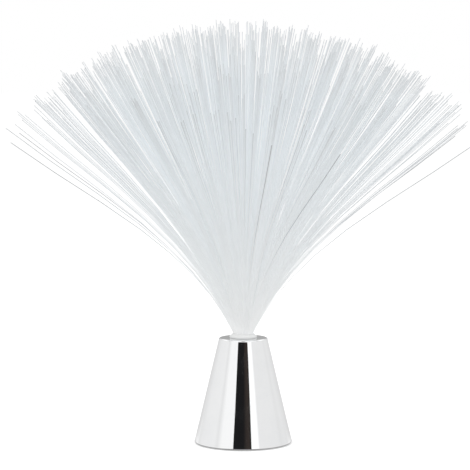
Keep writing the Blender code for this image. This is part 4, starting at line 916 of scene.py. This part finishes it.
def makeScrew(node, body, size, shape):
    low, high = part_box(node)
    total = high.z - low.z
    headRadius, headHeight = size["head"]
    flat = size.get("flat", False)
    crown = 0.0 if flat else shape["crown"] * headHeight
    bm = bmesh.new()
    bmesh.ops.create_grid(bm, x_segments=shape["cells"], y_segments=shape["cells"], size=1)
    wide, long = shape["crossHalfWidth"], shape["crossHalfLength"]
    cross = []
    for face in bm.faces:
        x, y, _ = map(abs, face.calc_center_median())
        if (x < wide and y < long) or (y < wide and x < long):
            cross.append(face)
    edge = headRadius if flat else headRadius * shape["edge"]
    for vert in bm.verts:
        x, y, _ = vert.co
        disc = Vector((x * math.sqrt(1 - y * y / 2), y * math.sqrt(1 - x * x / 2)))
        vert.co = (disc.x * edge, disc.y * edge, -crown * disc.length_squared)
    pressed = bmesh.ops.extrude_face_region(bm, geom=cross)["geom"]
    bmesh.ops.delete(bm, geom=cross, context="FACES_ONLY")
    for vert in [g for g in pressed if isinstance(g, bmesh.types.BMVert)]:
        vert.co.xy *= shape["crossTaper"]
        vert.co.z = -shape["crossDepth"] * headHeight
    edges = [e for e in bm.edges if e.is_boundary]
    shank = size["shank"]
    if flat:
        edges = ringBelow(bm, edges, headRadius, -shape["footRise"])
    else:
        edges = ringBelow(bm, edges, headRadius, -crown - shape["rimDrop"] * headHeight)
        edges = ringBelow(bm, edges, headRadius, -headHeight + shape["footRise"])
        edges = ringBelow(bm, edges, headRadius * shape["footShare"], -headHeight)
    edges = ringBelow(bm, edges, shank, -headHeight)
    z = -headHeight - shape["pitch"] / 2
    while z > -total + shank + shape["pitch"]:
        for radius, step in shape["thread"]:
            edges = ringBelow(bm, edges, shank * radius, z)
            z -= shape["pitch"] * step
    edges = ringBelow(bm, edges, shank * shape["rootShare"], -total + shank * shape["tipRise"])
    ringBelow(bm, edges, 0.0, -total)
    bmesh.ops.remove_doubles(bm, verts=bm.verts, dist=1e-6)
    middle = (low + high) / 2
    if size["down"]:
        bmesh.ops.rotate(bm, verts=bm.verts, cent=(0, 0, 0), matrix=Matrix.Rotation(math.pi, 3, "X"))
    end = low.z if size["down"] else high.z
    bmesh.ops.translate(bm, verts=bm.verts, vec=(middle.x, middle.y, end))
    bmesh.ops.recalc_face_normals(bm, faces=bm.faces)
    finishPiece(bm, f"{node}_cross", "plated_steel", body, [node], sharp=40)


def makeScrews():
    for name, size in screwSizes.items():
        for number in range(1, size["count"] + 1):
            makeScrew(f"{name}_{number}", "base", size, screwShape)
    makeScrew("door_screw", "door", doorScrew, screwShape)


makeScrews()
print("screws made")


# LEDs: a domed lens of clear epoxy over a cup on its post
ledShape = {
    "radius": 2.5 * mm, "flangeRadius": 2.9 * mm, "flangeHeight": 1.0 * mm, "edge": 0.2 * mm, "steps": 40,
    "domeSteps": 10, "cupRadius": 1.1 * mm, "cupHeight": 1.2 * mm, "cupWall": 0.25 * mm,
    "cupFoot": 3.6 * mm, "cupFloor": 0.45, "post": 0.4,  # floor and post as shares of the cup's radius
    "postFoot": 0.2 * mm,
}


def makeLeds(size):
    for number in range(1, 4):
        name = f"led_{number}"
        low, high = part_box(name)
        height, radius, edge = high.z - low.z, size["radius"], size["edge"]
        rim, wide = size["flangeHeight"], size["flangeRadius"]
        points = [(0, 0), (wide - edge, 0), (wide, edge)]
        points += [(wide, rim - edge), (wide - edge, rim), (radius, rim)]
        points += arcPoints(0, height - radius, radius, 0, 90, size["domeSteps"])
        bm = spunOutline(points, size["steps"], closed=False)
        middle = (low + high) / 2
        bmesh.ops.translate(bm, verts=bm.verts, vec=(middle.x, middle.y, low.z))
        finishPiece(bm, f"led_lens_{number}", "led_epoxy", "base", [name])
        # the cup that holds the chip
        foot, cup, wall = size["cupFoot"], size["cupRadius"], size["cupWall"]
        post, top, start = size["post"] * cup, foot + size["cupHeight"], size["postFoot"]
        points = [
            (0, foot), (size["cupFloor"] * cup, foot), (cup - wall, top), (cup, top),
            (cup, foot - wall), (post, foot - wall), (post, start), (0, start),
        ]
        bm = spunOutline(points, size["steps"], closed=False)
        bmesh.ops.translate(bm, verts=bm.verts, vec=(middle.x, middle.y, low.z))
        finishPiece(bm, f"led_cup_{number}", "plated_steel", "base")


makeLeds(ledShape)
print("LEDs made")


# Cells: a sleeve shrunk over the can, a dished minus end and a plus nub
cell = {
    "radius": 5.25 * mm, "sleeve": 0.12 * mm, "edge": 0.6 * mm, "nubRadius": 1.9 * mm, "nubHeight": 0.9 * mm,
    "nubEdge": 0.25 * mm, "dishRadius": 3.4 * mm, "dishDepth": 0.15 * mm, "lip": 0.9 * mm,
    "sleeveEnd": 0.05 * mm, "steps": 64,
    "plusAt": {1: -1, 2: 1, 3: -1},  # which way along Y each cell's plus end points
}


def makeCells(size):
    for number, towards in size["plusAt"].items():
        name = f"battery_{number}"
        low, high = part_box(name)
        length = high.y - low.y
        can, edge, nub = size["radius"] - size["sleeve"], size["edge"], size["nubEdge"]
        lip, end = size["lip"], size["sleeveEnd"]
        shoulder = length - size["nubHeight"]
        dish, depth = size["dishRadius"], size["dishDepth"]
        points = [(0, depth), (dish, depth), (dish + depth, 0)]
        points += arcPoints(can - edge, edge, edge, -90, 0, 4)
        points += [(can, lip), (size["radius"], lip + end)]
        points += [(size["radius"], shoulder - lip - end), (can, shoulder - lip)]
        points += arcPoints(can - edge, shoulder - edge, edge, 0, 90, 4)
        points += [(size["nubRadius"] + nub, shoulder), (size["nubRadius"], shoulder + nub)]
        points += arcPoints(size["nubRadius"] - nub, length - nub, nub, 0, 90, 3) + [(0, length)]
        bm = spunOutline(points, size["steps"], closed=False)
        along = bm.verts.layers.float.new("along")
        for vert in bm.verts:
            vert[along] = vert.co.z / length
        turn = Matrix.Rotation(-towards * math.pi / 2, 3, "X")
        bmesh.ops.rotate(bm, verts=bm.verts, cent=(0, 0, 0), matrix=turn)
        middle = (low + high) / 2
        start = low.y if towards > 0 else high.y
        bmesh.ops.translate(bm, verts=bm.verts, vec=(middle.x, start, middle.z))
        finishPiece(bm, f"cell_{number}", "cell_sleeve", "base", [name])


makeCells(cell)
print("cells made")


# Mouldings and pressings: the CAD shape with the soft edges that tools leave
softEdges = {
    "base_plate": ("base_moulding", "black_plastic", "base", 0.12 * mm),
    "battery_door": ("door_panel", "black_plastic", "door", 0.12 * mm),
    "switch_knob": ("switch_thumb", "black_plastic", "switch", 0.1 * mm),
    "fiber_socket": ("socket_tube", "white_plastic", "base", 0.15 * mm),
    "circuit_board": ("board_plate", "board_laminate", "base", 0.08 * mm),
    "door_pad": ("foam_strip", "door_foam", "door", 0.2 * mm),
}


def softenNodes(pieces):
    for node, (name, slot, body, width) in pieces.items():
        bm = copyOfNode(node)
        roundEdges(bm, width, 2, 36)
        finishPiece(bm, name, slot, body, [node], sharp=36)


softenNodes(softEdges)
print("edges softened")
